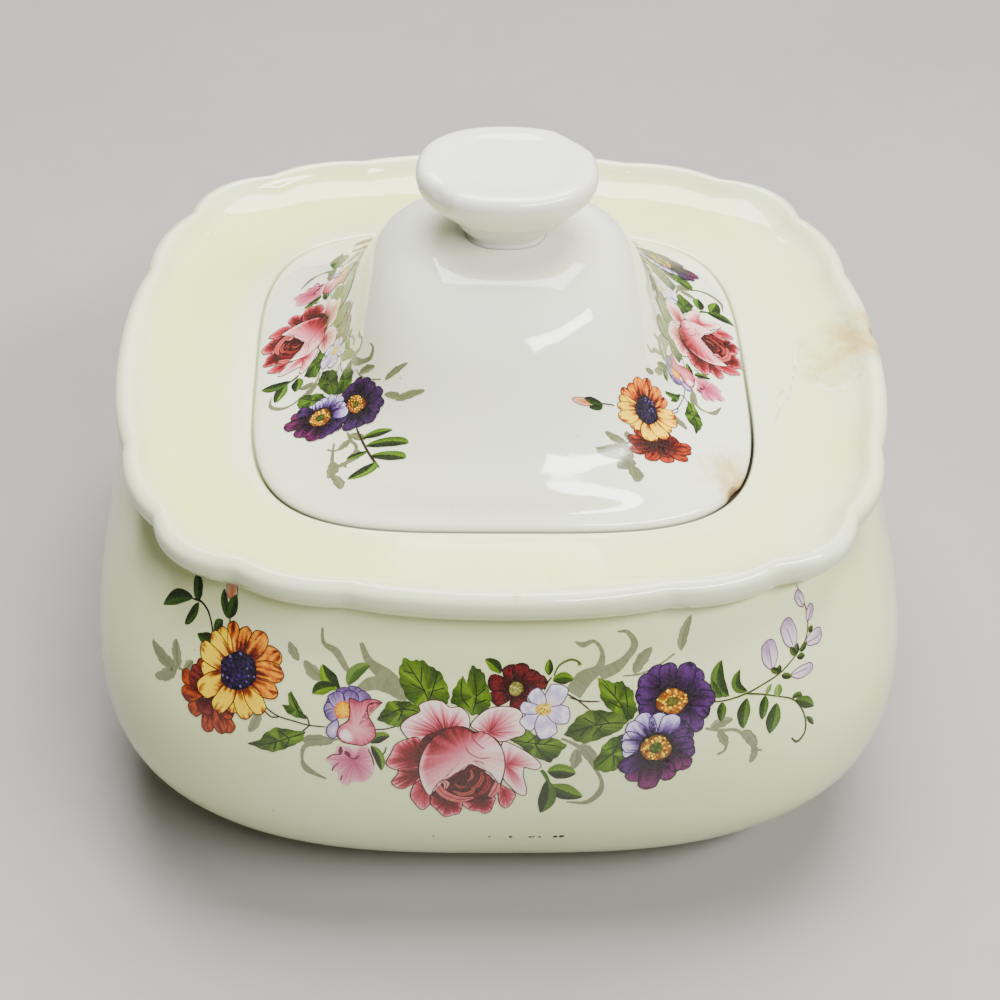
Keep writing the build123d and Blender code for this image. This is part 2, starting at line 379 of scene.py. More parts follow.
class Spray:
    """Collects painted patches and turns them into one coloured mesh."""

    def __init__(self, seed):
        self.random = np.random.default_rng(seed)
        self.places, self.colors, self.faces = [], [], []
        self.total = 0

    def patch(self, places, colors, layer, closed=False):
        """A grid of points, rows by columns, with a colour at each and a height in the print."""
        rows, columns = places.shape[:2]
        lift = np.full((rows, columns, 1), layer)
        self.places.append(np.concatenate([places, lift], axis=2).reshape(-1, 3))
        self.colors.append(np.clip(colors, 0, 1).reshape(-1, 3))
        last = columns if closed else columns - 1
        for row in range(rows - 1):
            for column in range(last):
                after = (column + 1) % columns
                here = self.total + row * columns
                self.faces.append((here + column, here + after, here + columns + after,
                                   here + columns + column))
        self.total += rows * columns

    def line(self, points, width, color, layer, closed=False, taper=True):
        """A pen line or ribbon; width is one number, or one for each given point."""
        curve = smooth_line(points, closed)
        count = len(curve)
        stations = np.linspace(0, 1, count)
        widths = np.ones(count) * np.interp(stations, np.linspace(0, 1, np.size(width)),
                                            np.atleast_1d(width))
        if taper and not closed and np.size(width) == 1:
            widths = widths * np.clip(np.minimum(stations, 1 - stations) * 6 + 0.35, 0, 1)
        if closed:
            ahead, behind = np.roll(curve, -1, axis=0), np.roll(curve, 1, axis=0)
            run = ahead - behind
        else:
            run = np.gradient(curve, axis=0)
        run = run / np.maximum(np.linalg.norm(run, axis=1, keepdims=True), 1e-6)
        side = np.stack([-run[:, 1], run[:, 0]], axis=1)
        offsets = np.array([-0.5, 0.0, 0.5])
        places = curve[None] + offsets[:, None, None] * (side * widths[:, None])[None]
        tint = self.random.uniform(-0.03, 0.03, (1, count, 1))
        colors = np.ones((3, count, 1)) * np.array(color) + tint
        self.patch(places, colors, layer, closed)

    def blade(self, base, tip, half_width, bend, shape, paint, layer, teeth=0, outline=None, rows=22,
              columns=11):
        """A leaf or petal from base to tip; shape is (fullness at base, fullness at tip)."""
        base, tip = np.array(base, float), np.array(tip, float)
        axis = tip - base
        across = np.array([-axis[1], axis[0]])
        t = np.linspace(0, 1, rows)
        s = np.linspace(-1, 1, columns)
        spine = base + t[:, None] * axis + (4 * bend * t * (1 - t))[:, None] * across
        run = np.gradient(spine, axis=0)
        run = run / np.linalg.norm(run, axis=1, keepdims=True)
        side = np.stack([-run[:, 1], run[:, 0]], axis=1)
        low, high = shape
        peak = low / (low + high)
        profile = (t / peak) ** low * ((1 - t) / (1 - peak)) ** high
        if teeth:
            profile = profile * (1 - 0.2 * (1 - (t * teeth) % 1) * (t < 0.97))
        wobble = 1 + 0.05 * np.sin(t * 9 + self.random.uniform(0, 6))
        reach = half_width * profile * wobble
        places = spine[:, None] + (s[None] * reach[:, None])[..., None] * side[:, None]
        grid_t, grid_s = np.meshgrid(t, s, indexing="ij")
        self.patch(places, paint(grid_t, grid_s), layer)
        if outline is not None:
            edge = np.concatenate([places[:, 0], places[::-1, -1]])[::2]
            self.line(edge, 0.2, outline, layer + 0.4, closed=True)

    def blob(self, points, hub, paint, layer, outline=None, rings=12, per_span=7):
        """A patch seen from a hub inside it; paint gets the share of the way out, and the place."""
        edge = smooth_line(points, True, per_span)
        hub = np.array(hub, float)
        share = np.linspace(0, 1, rings) ** 0.8
        places = hub + share[:, None, None] * (edge - hub)[None]
        out = np.ones((rings, len(edge))) * share[:, None]
        self.patch(places, paint(out, places), layer, closed=True)
        if outline is not None:
            self.line(points, 0.2, outline, layer + 0.4, closed=True)

    def dot(self, centre, radius, color, layer, sides=7):
        """A small round dab of colour."""
        turn = np.arange(sides) * 2 * np.pi / sides + self.random.uniform(0, 3)
        wobble = radius * self.random.uniform(0.85, 1.15, sides)
        edge = np.array(centre) + np.stack([np.cos(turn) * wobble, np.sin(turn) * wobble], axis=1)
        places = np.array([np.repeat(np.array([centre], float), sides, axis=0), edge])
        self.patch(places, np.ones((2, sides, 1)) * np.array(color), layer, closed=True)

    def streaks(self, shape, strength):
        """Fine streaks that run from base to tip, like strokes of a brush."""
        strokes = self.random.normal(0, strength, shape[1])
        strokes = strokes + 0.5 * np.roll(strokes, 1)
        grain = self.random.normal(0, strength * 0.35, shape)
        return (strokes[None] + grain)[..., None]


# ---- the garland ------------------------------------------------------------------------------
LEAF_DARK = (0.14, 0.22, 0.02)
LEAF = (0.30, 0.42, 0.05)
LEAF_LIGHT = (0.54, 0.66, 0.12)
GREY_LEAF = (0.58, 0.59, 0.48)
STEM = (0.30, 0.24, 0.24)
PLUM = (0.30, 0.08, 0.13)


def ramp(share, marks):
    """Colours at shares from 0 to 1 along a list of (share, colour)."""
    stops = [mark[0] for mark in marks]
    channels = [np.interp(share, stops, [mark[1][i] for mark in marks]) for i in range(3)]
    return np.stack(channels, axis=-1)


def leaf(spray, base, tip, half_width, layer, bend=0.0, light=LEAF_LIGHT, dark=LEAF_DARK, teeth=0):
    """A leaf with a dark midrib, one half in the light, and side veins."""
    mid = tuple(0.5 * (a + b) for a, b in zip(light, dark))

    def paint(t, s):
        veins = np.clip(np.sin((t - 0.35 * np.abs(s)) * 40) * 4 - 2.6, 0, 1) * 0.35
        rib = np.clip(1.3 - np.abs(s) * 7, 0, 1) * (t < 0.94)
        tone = 0.5 + 0.36 * np.sign(s) * np.clip(np.abs(s) * 4, 0, 1) - 0.25 * np.abs(s) + 0.15 * t
        tone = tone + spray.streaks(t.shape, 0.06)[..., 0]
        colors = ramp(tone, [(0, dark), (0.5, mid), (1, light)])
        return mix(mix(colors, dark, veins), dark, rib * 0.8)

    spray.blade(base, tip, half_width, bend, (0.75, 0.8), paint, layer, teeth=teeth)


def grey_leaf(spray, base, tip, half_width, layer, bend=0.0):
    """A pale grey leaf in the background of the garland."""
    def paint(t, s):
        shade = np.ones(t.shape + (3,)) * np.array(GREY_LEAF)
        return shade + spray.streaks(t.shape, 0.025) - 0.04 * (np.abs(s) < 0.12)[..., None]

    spray.blade(base, tip, half_width, bend, (0.6, 0.7), paint, layer, teeth=3)


def broad_leaf(spray, outline, hub, veins, layer, light=LEAF_LIGHT, dark=LEAF_DARK):
    """A broad serrated leaf: given edge, with veins drawn over it as pairs of points."""
    hub = np.array(hub, float)
    edge = np.repeat(np.array(outline, float), 3, axis=0)
    toothed = edge + np.tile([[0.0], [0.035], [-0.02]], (len(outline), 1)) * (edge - hub)
    step = np.roll(edge, -3, axis=0) - edge
    toothed = toothed + step * np.tile([[0.0], [0.36], [0.66]], (len(outline), 1))

    def paint(out, places):
        grain = spray.streaks(out.shape, 0.07)[..., 0]
        turn = np.arctan2(places[..., 1] - hub[1], places[..., 0] - hub[0])
        tone = 0.55 + 0.22 * np.sin(turn * 3 + 1.0) + grain - 0.28 * np.clip(out * 1.2 - 0.7, 0, 1)
        mid = tuple(0.5 * (a + b) for a, b in zip(light, dark))
        return ramp(tone, [(0, dark), (0.5, mid), (1, light)])

    spray.blob(toothed, hub, paint, layer, rings=16, per_span=3)
    for vein in veins:
        spray.line(vein, 0.26, LEAF_DARK, layer + 0.3)


def petal_blob(spray, outline, hub, marks, layer, edge=PLUM, streak=0.16):
    """A petal seen from its root: a streaked ramp of colours from there to its rim."""
    def paint(out, places):
        grain = spray.streaks(out.shape, streak)[..., 0]
        return ramp(out + grain * (1 - out * 0.6), marks)

    spray.blob(outline, hub, paint, layer, outline=edge, rings=18)


def flower(spray, centre, petals, marks, layer, shape=(0.9, 0.35), edge=None, streak=0.12, root=0.0):
    """Petals given as angle in degrees, length and half width, round a centre."""
    centre = np.array(centre, float)
    for number, (angle, length, half_width) in enumerate(petals):
        turn = math.radians(angle)
        reach = np.array([math.cos(turn), math.sin(turn)])

        def paint(t, s):
            grain = spray.streaks(t.shape, streak)[..., 0]
            tone = t + grain - 0.10 * np.abs(s) ** 3
            return ramp(tone, marks)

        height = layer + 0.7 * (number % 3)
        bend = spray.random.uniform(-0.06, 0.06)
        spray.blade(centre + root * reach, centre + length * reach, half_width, bend, shape, paint, height,
                    outline=edge)


def speckled_disc(spray, centre, half_size, tilt, base, dabs, layer, count, dab_size, rim=None):
    """The disc in the middle of a flower, with small dabs of colour spread over it."""
    turn = np.radians(np.arange(0, 360, 30))
    cosine, sine = math.cos(math.radians(tilt)), math.sin(math.radians(tilt))
    wide, high = half_size

    def spot(angle, share):
        x, y = wide * share * np.cos(angle), high * share * np.sin(angle)
        return centre[0] + cosine * x - sine * y, centre[1] + sine * x + cosine * y

    edge = [spot(angle, 1 + 0.05 * spray.random.normal()) for angle in turn]

    def paint(out, places):
        shade = np.ones(out.shape + (3,)) * np.array(base)
        return shade + spray.streaks(out.shape, 0.05) - 0.12 * out[..., None] ** 4

    spray.blob(edge, centre, paint, layer, outline=rim, per_span=4)
    for number in range(count):
        share = math.sqrt((number + 0.5) / count) * 0.92
        angle = number * 2.39996 + spray.random.uniform(-0.2, 0.2)
        color = dabs[spray.random.integers(len(dabs))]
        spray.dot(spot(angle, share), dab_size * spray.random.uniform(0.7, 1.25), color, layer + 0.6)


def paint_grey_background(spray):
    """The pale grey leaves and ribbons behind the garland."""
    for base, tip, half_width in (
        ((-66.5, 22.3), (-74.3, 23.6), 1.5), ((-66.5, 22.5), (-72.5, 18.2), 1.2),
        ((-66, 22.5), (-67.2, 27.2), 1.5),
        ((-64.5, 22.3), (-62.5, 25.2), 1.0), ((-48, 20), (-50.2, 15.3), 1.1),
        ((-40, 31.2), (-42, 34.4), 1.0),
        ((-35.5, 28.2), (-39, 31.4), 1.4), ((-39.5, 15.2), (-33.5, 15.4), 1.4),
        ((13.4, 14.6), (13, 9.8), 1.3),
        ((14.2, 15.6), (17.4, 10.6), 1.4), ((24.2, 30.2), (27.6, 35.2), 1.3),
        ((33.2, 34), (35.2, 40.5), 1.1),
        ((39.5, 18), (44, 19.2), 1.2), ((41, 17), (43, 13.4), 1.0), ((46, 16.4), (49, 12), 1.3),
        ((49, 12.4), (48, 8.6), 0.9),
    ):
        grey_leaf(spray, base, tip, half_width, 0.0, bend=0.06)
    for points, width in (
        (((-35.5, 38), (-35.2, 35.2), (-32.8, 33.8), (-31, 31), (-30, 30)), (0.4, 0.8, 1.5, 1.2, 0.5)),
        (((-28, 36), (-26.5, 32.5), (-23.5, 30), (-21.5, 28), (-19.5, 25)), (0.8, 1.6, 3.0, 3.2, 0.6)),
        (((-30, 25.5), (-26.5, 28), (-23.5, 28), (-20, 25.3)), (0.5, 2.6, 3.0, 1.0)),
        (((-32.5, 16.2), (-36, 15.2), (-39, 14), (-39.6, 11), (-38.6, 8.6), (-35, 6.5)),
         (0.4, 1.2, 1.0, 0.5, 1.5, 0.4)),
        (((12.5, 26.5), (14.5, 29.5), (17.3, 31.5), (18, 34.5), (16.5, 36.8), (14.3, 36.2), (12.8, 36.8)),
         (3.4, 3.4, 1.8, 0.8, 0.6, 1.2, 0.3)),
        (((17.5, 30.3), (20.5, 31.6), (22.7, 33.5), (24.2, 36), (22.8, 38.4), (20.8, 38.6)),
         (2.6, 2.4, 1.4, 1.4, 0.8, 0.3)),
        (((10.5, 17), (14, 15), (16.6, 11), (18.6, 7), (18.4, 3.6), (16, 0.8), (12, 0.9)),
         (0.5, 0.9, 0.7, 0.7, 1.3, 1.2, 0.3)),
        (((22, 29.9), (25, 30.1), (28.5, 31.4), (32, 33.6)), (0.3, 0.4, 0.3, 0.4)),
        (((38.5, 18), (41.5, 17.2), (45, 16.6), (48.2, 13), (48.6, 10)), (0.5, 0.7, 0.7, 1.0, 0.5)),
        (((43, 14.6), (42.6, 12.6), (41.2, 11.8)), (0.8, 0.5, 0.6)),
        (((48, 11.6), (50.4, 11.2)), (0.6, 0.4)),
        (((-74, 24), (-70, 22.6), (-66, 22.6), (-63, 22.8)), (0.3, 0.4, 0.5, 0.5)),
    ):
        spray.line(points, width, GREY_LEAF, 0.6)


def paint_tipped_bud(spray, base, tip):
    """A closed orange bud between two calyx leaves."""
    base, tip = np.array(base, float), np.array(tip, float)
    axis = tip - base
    side = np.array([-axis[1], axis[0]]) / 7
    heart = base + 0.45 * axis
    petal_blob(
        spray, (heart + side * 0.9, heart + 0.35 * axis + side, tip, heart + 0.35 * axis - side,
                heart - side * 0.9), heart,
        [(0, (0.78, 0.50, 0.36)), (0.6, (0.86, 0.68, 0.55)), (1, (0.92, 0.84, 0.75))], 1.9,
    )
    leaf(spray, base, base + 0.55 * axis + 1.6 * side, 0.9, 2.2, 0.1, light=(0.28, 0.42, 0.10),
         dark=(0.12, 0.19, 0.05))
    leaf(spray, base, base + 0.58 * axis - 1.0 * side, 1.1, 2.4, 0.0, light=(0.30, 0.46, 0.12),
         dark=(0.12, 0.19, 0.05))


def paint_left_sprig(spray):
    """The dark sprig and the tipped bud at the left end."""
    for base, tip, half_width, bend in (
        ((-62.8, 35), (-64, 39.2), 1.4, 0.0), ((-64.2, 35), (-72.3, 30.5), 1.1, -0.08),
        ((-62.5, 35), (-65.4, 30.4), 0.9, 0.05),
        ((-57, 31.4), (-62, 30.2), 1.2, 0.15), ((-57.6, 31.4), (-56.2, 34.4), 1.0, 0.1),
    ):
        leaf(spray, base, tip, half_width, 2.0, bend, light=(0.28, 0.42, 0.10), dark=(0.12, 0.19, 0.05))
    spray.line(((-64.5, 34.8), (-62, 35.3), (-60, 34.6), (-58.8, 33), (-58.2, 31.2)), 0.4,
               (0.16, 0.17, 0.12), 2.6)
    spray.line(((-54.7, 35.5), (-54.4, 33), (-53.9, 31)), 0.35, (0.22, 0.20, 0.12), 2.2)
    paint_tipped_bud(spray, (-55, 35), (-54.4, 43))


def paint_daisies(spray, rust_place):
    """The yellow and orange daisy with its purple disc, and the rust one behind it."""
    rust = [(0, (0.22, 0.03, 0.04)), (0.5, (0.42, 0.12, 0.05)), (0.8, (0.74, 0.40, 0.12)),
            (1, (0.46, 0.18, 0.08))]
    wine = [(0, (0.20, 0.03, 0.06)), (0.6, (0.36, 0.08, 0.10)), (1, (0.55, 0.24, 0.20))]
    rust_edge = (0.34, 0.08, 0.06)
    flower(spray, rust_place, (
        (120, 6.4, 1.5), (165, 7.3, 1.6), (198, 7.2, 1.4), (226, 6.9, 1.5), (262, 7.8, 1.4),
        (290, 7.4, 1.5), (304, 7.6, 1.6),
        (330, 5.4, 1.6), (8, 5.8, 1.5), (45, 5.8, 1.5), (82, 6.2, 1.5),
    ), rust, 2.0, edge=rust_edge)
    flower(spray, rust_place, ((140, 6.0, 1.5), (160, 5.6, 1.6), (245, 4.4, 1.8), (345, 5.5, 1.6)), wine,
           4.4, edge=rust_edge)
    amber = [(0, (0.20, 0.02, 0.08)), (0.42, (0.38, 0.08, 0.06)), (0.56, (0.76, 0.44, 0.06)),
             (0.8, (0.92, 0.72, 0.14)),
             (0.93, (0.72, 0.34, 0.10)), (1, (0.44, 0.12, 0.06))]
    gold = [(0, (0.26, 0.05, 0.06)), (0.38, (0.52, 0.24, 0.04)), (0.5, (0.92, 0.78, 0.02)),
            (0.88, (0.96, 0.86, 0.04)),
            (1, (0.62, 0.32, 0.06))]
    flower(spray, (-52.5, 26.5), (
        (98, 8.6, 1.4), (79, 8.6, 1.5), (57, 10.0, 1.7), (33, 10.3, 1.9), (9, 9.6, 1.9), (-14, 8.6, 1.7),
    ), amber, 6.0, edge=rust_edge, streak=0.12)
    flower(spray, (-52.5, 26.5), (
        (120, 7.8, 1.5), (141, 7.8, 1.6), (167, 8.6, 1.9), (194, 8.2, 1.7), (217, 10.4, 2.0),
        (240, 9.8, 1.7), (262, 8.2, 1.6),
        (284, 8.8, 1.8), (306, 8.6, 1.8),
    ), gold, 6.2, edge=rust_edge, streak=0.07)
    speckled_disc(
        spray, (-52.5, 26.6), (4.4, 3.3), 38, (0.12, 0.03, 0.22),
        ((0.50, 0.42, 0.62), (0.30, 0.16, 0.46), (0.18, 0.08, 0.30)),
        9.0, 40, 0.26,
    )


def paint_left_stems(spray):
    """Stems and leaves between the daisies and the viola."""
    for points in (
        ((-47.5, 21.7), (-44.5, 19.9), (-41, 19.2), (-38, 18.7), (-34.3, 18.7)),
        ((-47, 20.4), (-45.5, 19.4), (-43.8, 19.7)),
        ((-38, 18.7), (-38.5, 20.3), (-39.5, 21)),
        ((-38, 18.7), (-39.4, 17.3)),
    ):
        spray.line(points, 0.3, STEM, 3.0)
    broad_leaf(
        spray, ((-38.6, 20), (-40.5, 20), (-42.2, 20.6), (-43.4, 22.2), (-42, 22.4), (-42.2, 24.4),
                (-41.6, 25.2), (-40.8, 24),
                (-39.8, 22.2)),
        (-40.6, 21.6), (((-38.6, 20.1), (-40.4, 21.8), (-41.6, 24.6)),), 3.2, light=(0.50, 0.62, 0.30),
    )
    broad_leaf(
        spray, ((-38.8, 17.2), (-41.5, 17.3), (-44.6, 17.4), (-46.6, 16), (-48, 14), (-50.4, 12.8),
                (-48.4, 12.2), (-45.6, 11.7),
                (-43.4, 12.6), (-41.8, 13.6), (-39.6, 15)),
        (-44, 14.8), (((-38.9, 17), (-42.6, 15.2), (-46.5, 13.4), (-50, 12.8)),
                      ((-42, 15.4), (-44.4, 16.8)),
                      ((-44.4, 14.4), (-46.4, 15.4)), ((-42, 15.3), (-43, 13)),
                      ((-44.6, 14.2), (-45.2, 12.2))), 3.2,
    )
    leaf(spray, (-32, 26.6), (-35.4, 31.2), 1.6, 3.4, 0.12)
    leaf(spray, (-33, 27), (-37.4, 25.2), 1.3, 3.6, -0.12)
    leaf(spray, (-30.5, 27.5), (-26.2, 31.8), 1.3, 3.4, 0.15, light=(0.52, 0.60, 0.34),
         dark=(0.30, 0.40, 0.18))
    spray.line(((-25.5, 18.7), (-23.4, 18.9), (-21.2, 19.6)), 0.3, STEM, 3.0)


def paint_viola_and_buds(spray):
    """The lilac viola, the pink bud in front of it and the pink flower below."""
    lilac = [(0, (0.78, 0.73, 0.84)), (0.6, (0.64, 0.57, 0.71)), (1, (0.46, 0.37, 0.54))]
    lilac_edge = (0.28, 0.20, 0.40)
    flower(spray, (-31.2, 22.3), (
        (62, 5.6, 1.7), (90, 4.8, 1.6), (118, 4.2, 1.6), (150, 3.9, 1.7), (180, 4.0, 1.5), (204, 3.8, 1.2),
    ), lilac, 5.0, edge=lilac_edge)
    flower(spray, (-30.5, 22.6), ((40, 5.2, 1.6), (75, 4.0, 1.4)), lilac, 5.6, edge=lilac_edge)
    petal_blob(
        spray, ((-32.6, 20.4), (-34.3, 19.2), (-34.8, 17.6), (-34, 16.4), (-33, 16.6), (-32.4, 18.4)),
        (-33.4, 18),
        [(0, (0.90, 0.86, 0.92)), (1, (0.66, 0.58, 0.74))], 5.2, edge=lilac_edge,
    )
    petal_blob(
        spray, ((-31, 24.4), (-32.4, 24), (-33.2, 22.6), (-32.8, 21), (-31.4, 20.8), (-30.3, 21.4),
                (-30.2, 23.4)), (-31.3, 22.4),
        [(0, (0.95, 0.84, 0.06)), (0.8, (0.88, 0.68, 0.08)), (1, (0.80, 0.45, 0.16))], 7.4, edge=None,
    )
    blush = [(0, (0.92, 0.72, 0.72)), (0.6, (0.86, 0.60, 0.63)), (0.9, (0.78, 0.46, 0.52)),
             (1, (0.66, 0.34, 0.42))]
    petal_blob(
        spray, ((-30.2, 25), (-30.2, 22), (-30.6, 20.4), (-32.2, 19), (-32.7, 17.2), (-31.6, 15.7),
                (-29.8, 15.3), (-27.8, 15.1),
                (-26.4, 15.9), (-25.3, 17.4), (-25.5, 19.4), (-26.6, 21.6), (-26.8, 23.4), (-26, 24.3),
                (-24, 24.4), (-25.2, 25),
                (-27, 25), (-28.2, 24.4)),
        (-28.8, 19), blush, 8.0,
    )
    petal_blob(
        spray, ((-31.2, 18.6), (-32.3, 17.6), (-31.8, 16.2), (-30.2, 15.8), (-29.6, 16.8), (-30.2, 18)),
        (-31, 17.2),
        [(0, (0.98, 0.95, 0.93)), (0.7, (0.95, 0.88, 0.86)), (1, (0.90, 0.76, 0.76))], 9.0, edge=None,
    )
    rosy = [(0, (0.70, 0.36, 0.48)), (0.4, (0.79, 0.50, 0.58)), (0.8, (0.85, 0.62, 0.67)),
            (1, (0.90, 0.76, 0.77))]
    petal_blob(
        spray, ((-32.5, 14.8), (-33.2, 12.8), (-35, 11.6), (-34, 10.4), (-33.6, 9), (-32.6, 8.4),
                (-32.4, 6.4), (-31, 5),
                (-29.6, 6.2), (-27.6, 6.2), (-26, 8), (-25.5, 10.4), (-26.2, 12.6), (-26.8, 14.8),
                (-29.6, 14.4)),
        (-29.6, 11.4), rosy, 4.2, edge=None,
    )
    for points in (
        ((-34.8, 11.6), (-33.6, 12.6), (-32.2, 12.8)), ((-33.8, 8.6), (-33.4, 9.8), (-32.4, 10.8)),
        ((-32.2, 6.4), (-31.8, 7.8)),
        ((-26.8, 14.4), (-26, 12.4), (-25.6, 10.4)), ((-31.4, 13.2), (-30, 12), (-28.8, 12)),
        ((-29.8, 11.8), (-28.4, 12.6)),
    ):
        spray.line(points, 0.3, (0.50, 0.20, 0.34), 5.2)
    for points in (((-32, 14.6), (-32.2, 12.6)), ((-31.2, 13.6), (-30.2, 12.4))):
        spray.line(points, (0.4, 0.9, 0.3), (0.42, 0.14, 0.26), 5.4)
    for base, tip, half_width, bend in (
        ((-26.2, 15.6), (-22.5, 17.4), 1.2, 0.15), ((-26.2, 15.2), (-24.2, 9.3), 1.0, 0.10),
    ):
        leaf(spray, base, tip, half_width, 6.0, bend, dark=(0.09, 0.14, 0.05))
    spray.line(((-23.2, 15), (-23.6, 13.6), (-24.6, 12.4)), 0.3, (0.26, 0.34, 0.14), 5.8)


def paint_rose_leaves(spray):
    """The serrated leaves round the rose, and the small ones over it."""
    broad_leaf(
        spray, ((-15, 24.2), (-17, 23.6), (-19, 25.2), (-20.4, 28), (-20.8, 30.6), (-20, 33.4), (-18, 33),
                (-16.4, 33.2),
                (-14.8, 32), (-13, 31), (-11.8, 28.8), (-11.1, 26.4), (-11.4, 24.6), (-13, 24.4)),
        (-15.4, 27.2), (((-15, 24.8), (-16.4, 28), (-19.4, 32.8)), ((-15, 25), (-14, 28.4), (-13.4, 31)),
                        ((-16, 27.2), (-18.8, 28.6)), ((-16.6, 28.6), (-16.4, 32)),
                        ((-14.4, 27), (-12, 27.8)),
                        ((-17.6, 30.4), (-20, 31))), 8.0,
    )
    broad_leaf(
        spray, ((-6.6, 22), (-8.4, 23.6), (-10.8, 24.6), (-10.6, 26.8), (-9.6, 28.8), (-8.6, 30.2),
                (-7.8, 28.6), (-7.5, 30.4),
                (-6.9, 32.2), (-5.6, 31.6), (-4.6, 30.8), (-4, 28.6), (-3.2, 26.4), (-3.2, 24.2),
                (-4.8, 22.6)),
        (-6.6, 26), (((-6.6, 22.8), (-6, 26.4), (-6.6, 31.6)), ((-7.2, 23.6), (-8.8, 26), (-8.8, 29.6)),
                     ((-6, 26), (-4.2, 27.8)), ((-6.2, 24.4), (-4, 25.4))), 7.6,
    )
    broad_leaf(
        spray, ((-16.8, 23.2), (-18.6, 24.8), (-21, 25), (-22.8, 24.8), (-23.8, 23), (-25, 21), (-23, 20),
                (-21, 19.4),
                (-19, 20.8), (-17.4, 22)),
        (-20.6, 22.4), (((-17, 22.8), (-20.4, 23.2), (-24.4, 21.2)), ((-19.4, 23.2), (-21.4, 24.4)),
                        ((-20, 23), (-21, 20.6))), 8.4, dark=(0.11, 0.17, 0.05),
    )
    broad_leaf(
        spray, ((0.4, 16.8), (2, 17.6), (4, 19), (5.4, 17.8), (7.4, 17.8), (9.4, 17), (11.6, 15.6),
                (10.4, 13.6), (8.6, 11.4),
                (6.4, 12.2), (4.2, 13.8), (2.2, 15.6)),
        (5.6, 15.2), (((0.6, 16.6), (4.6, 16), (10.6, 15.2)), ((4, 16.2), (5.6, 17.4)),
                      ((5.4, 15.8), (7, 13)),
                      ((7, 15.6), (8.8, 16.8))), 3.0, dark=(0.10, 0.16, 0.05),
    )
    for base, tip, half_width, bend in (
        ((-1.4, 30.6), (-4.4, 33.4), 1.1, -0.1), ((7.8, 30.2), (7.9, 33.5), 0.8, 0.0),
        ((8.6, 29.2), (12.6, 29.4), 1.2, 0.1),
    ):
        leaf(spray, base, tip, half_width, 3.0, bend)
    spray.line(((8.8, 30.2), (9.8, 32.2), (11.8, 33.3), (13.3, 33), (13.8, 32.2)),
               (0.3, 0.4, 0.5, 0.4, 0.8), (0.38, 0.46, 0.24), 3.0)
    spray.line(((8.4, 30), (7.6, 28.8), (7, 27.2)), 0.3, STEM, 3.0)


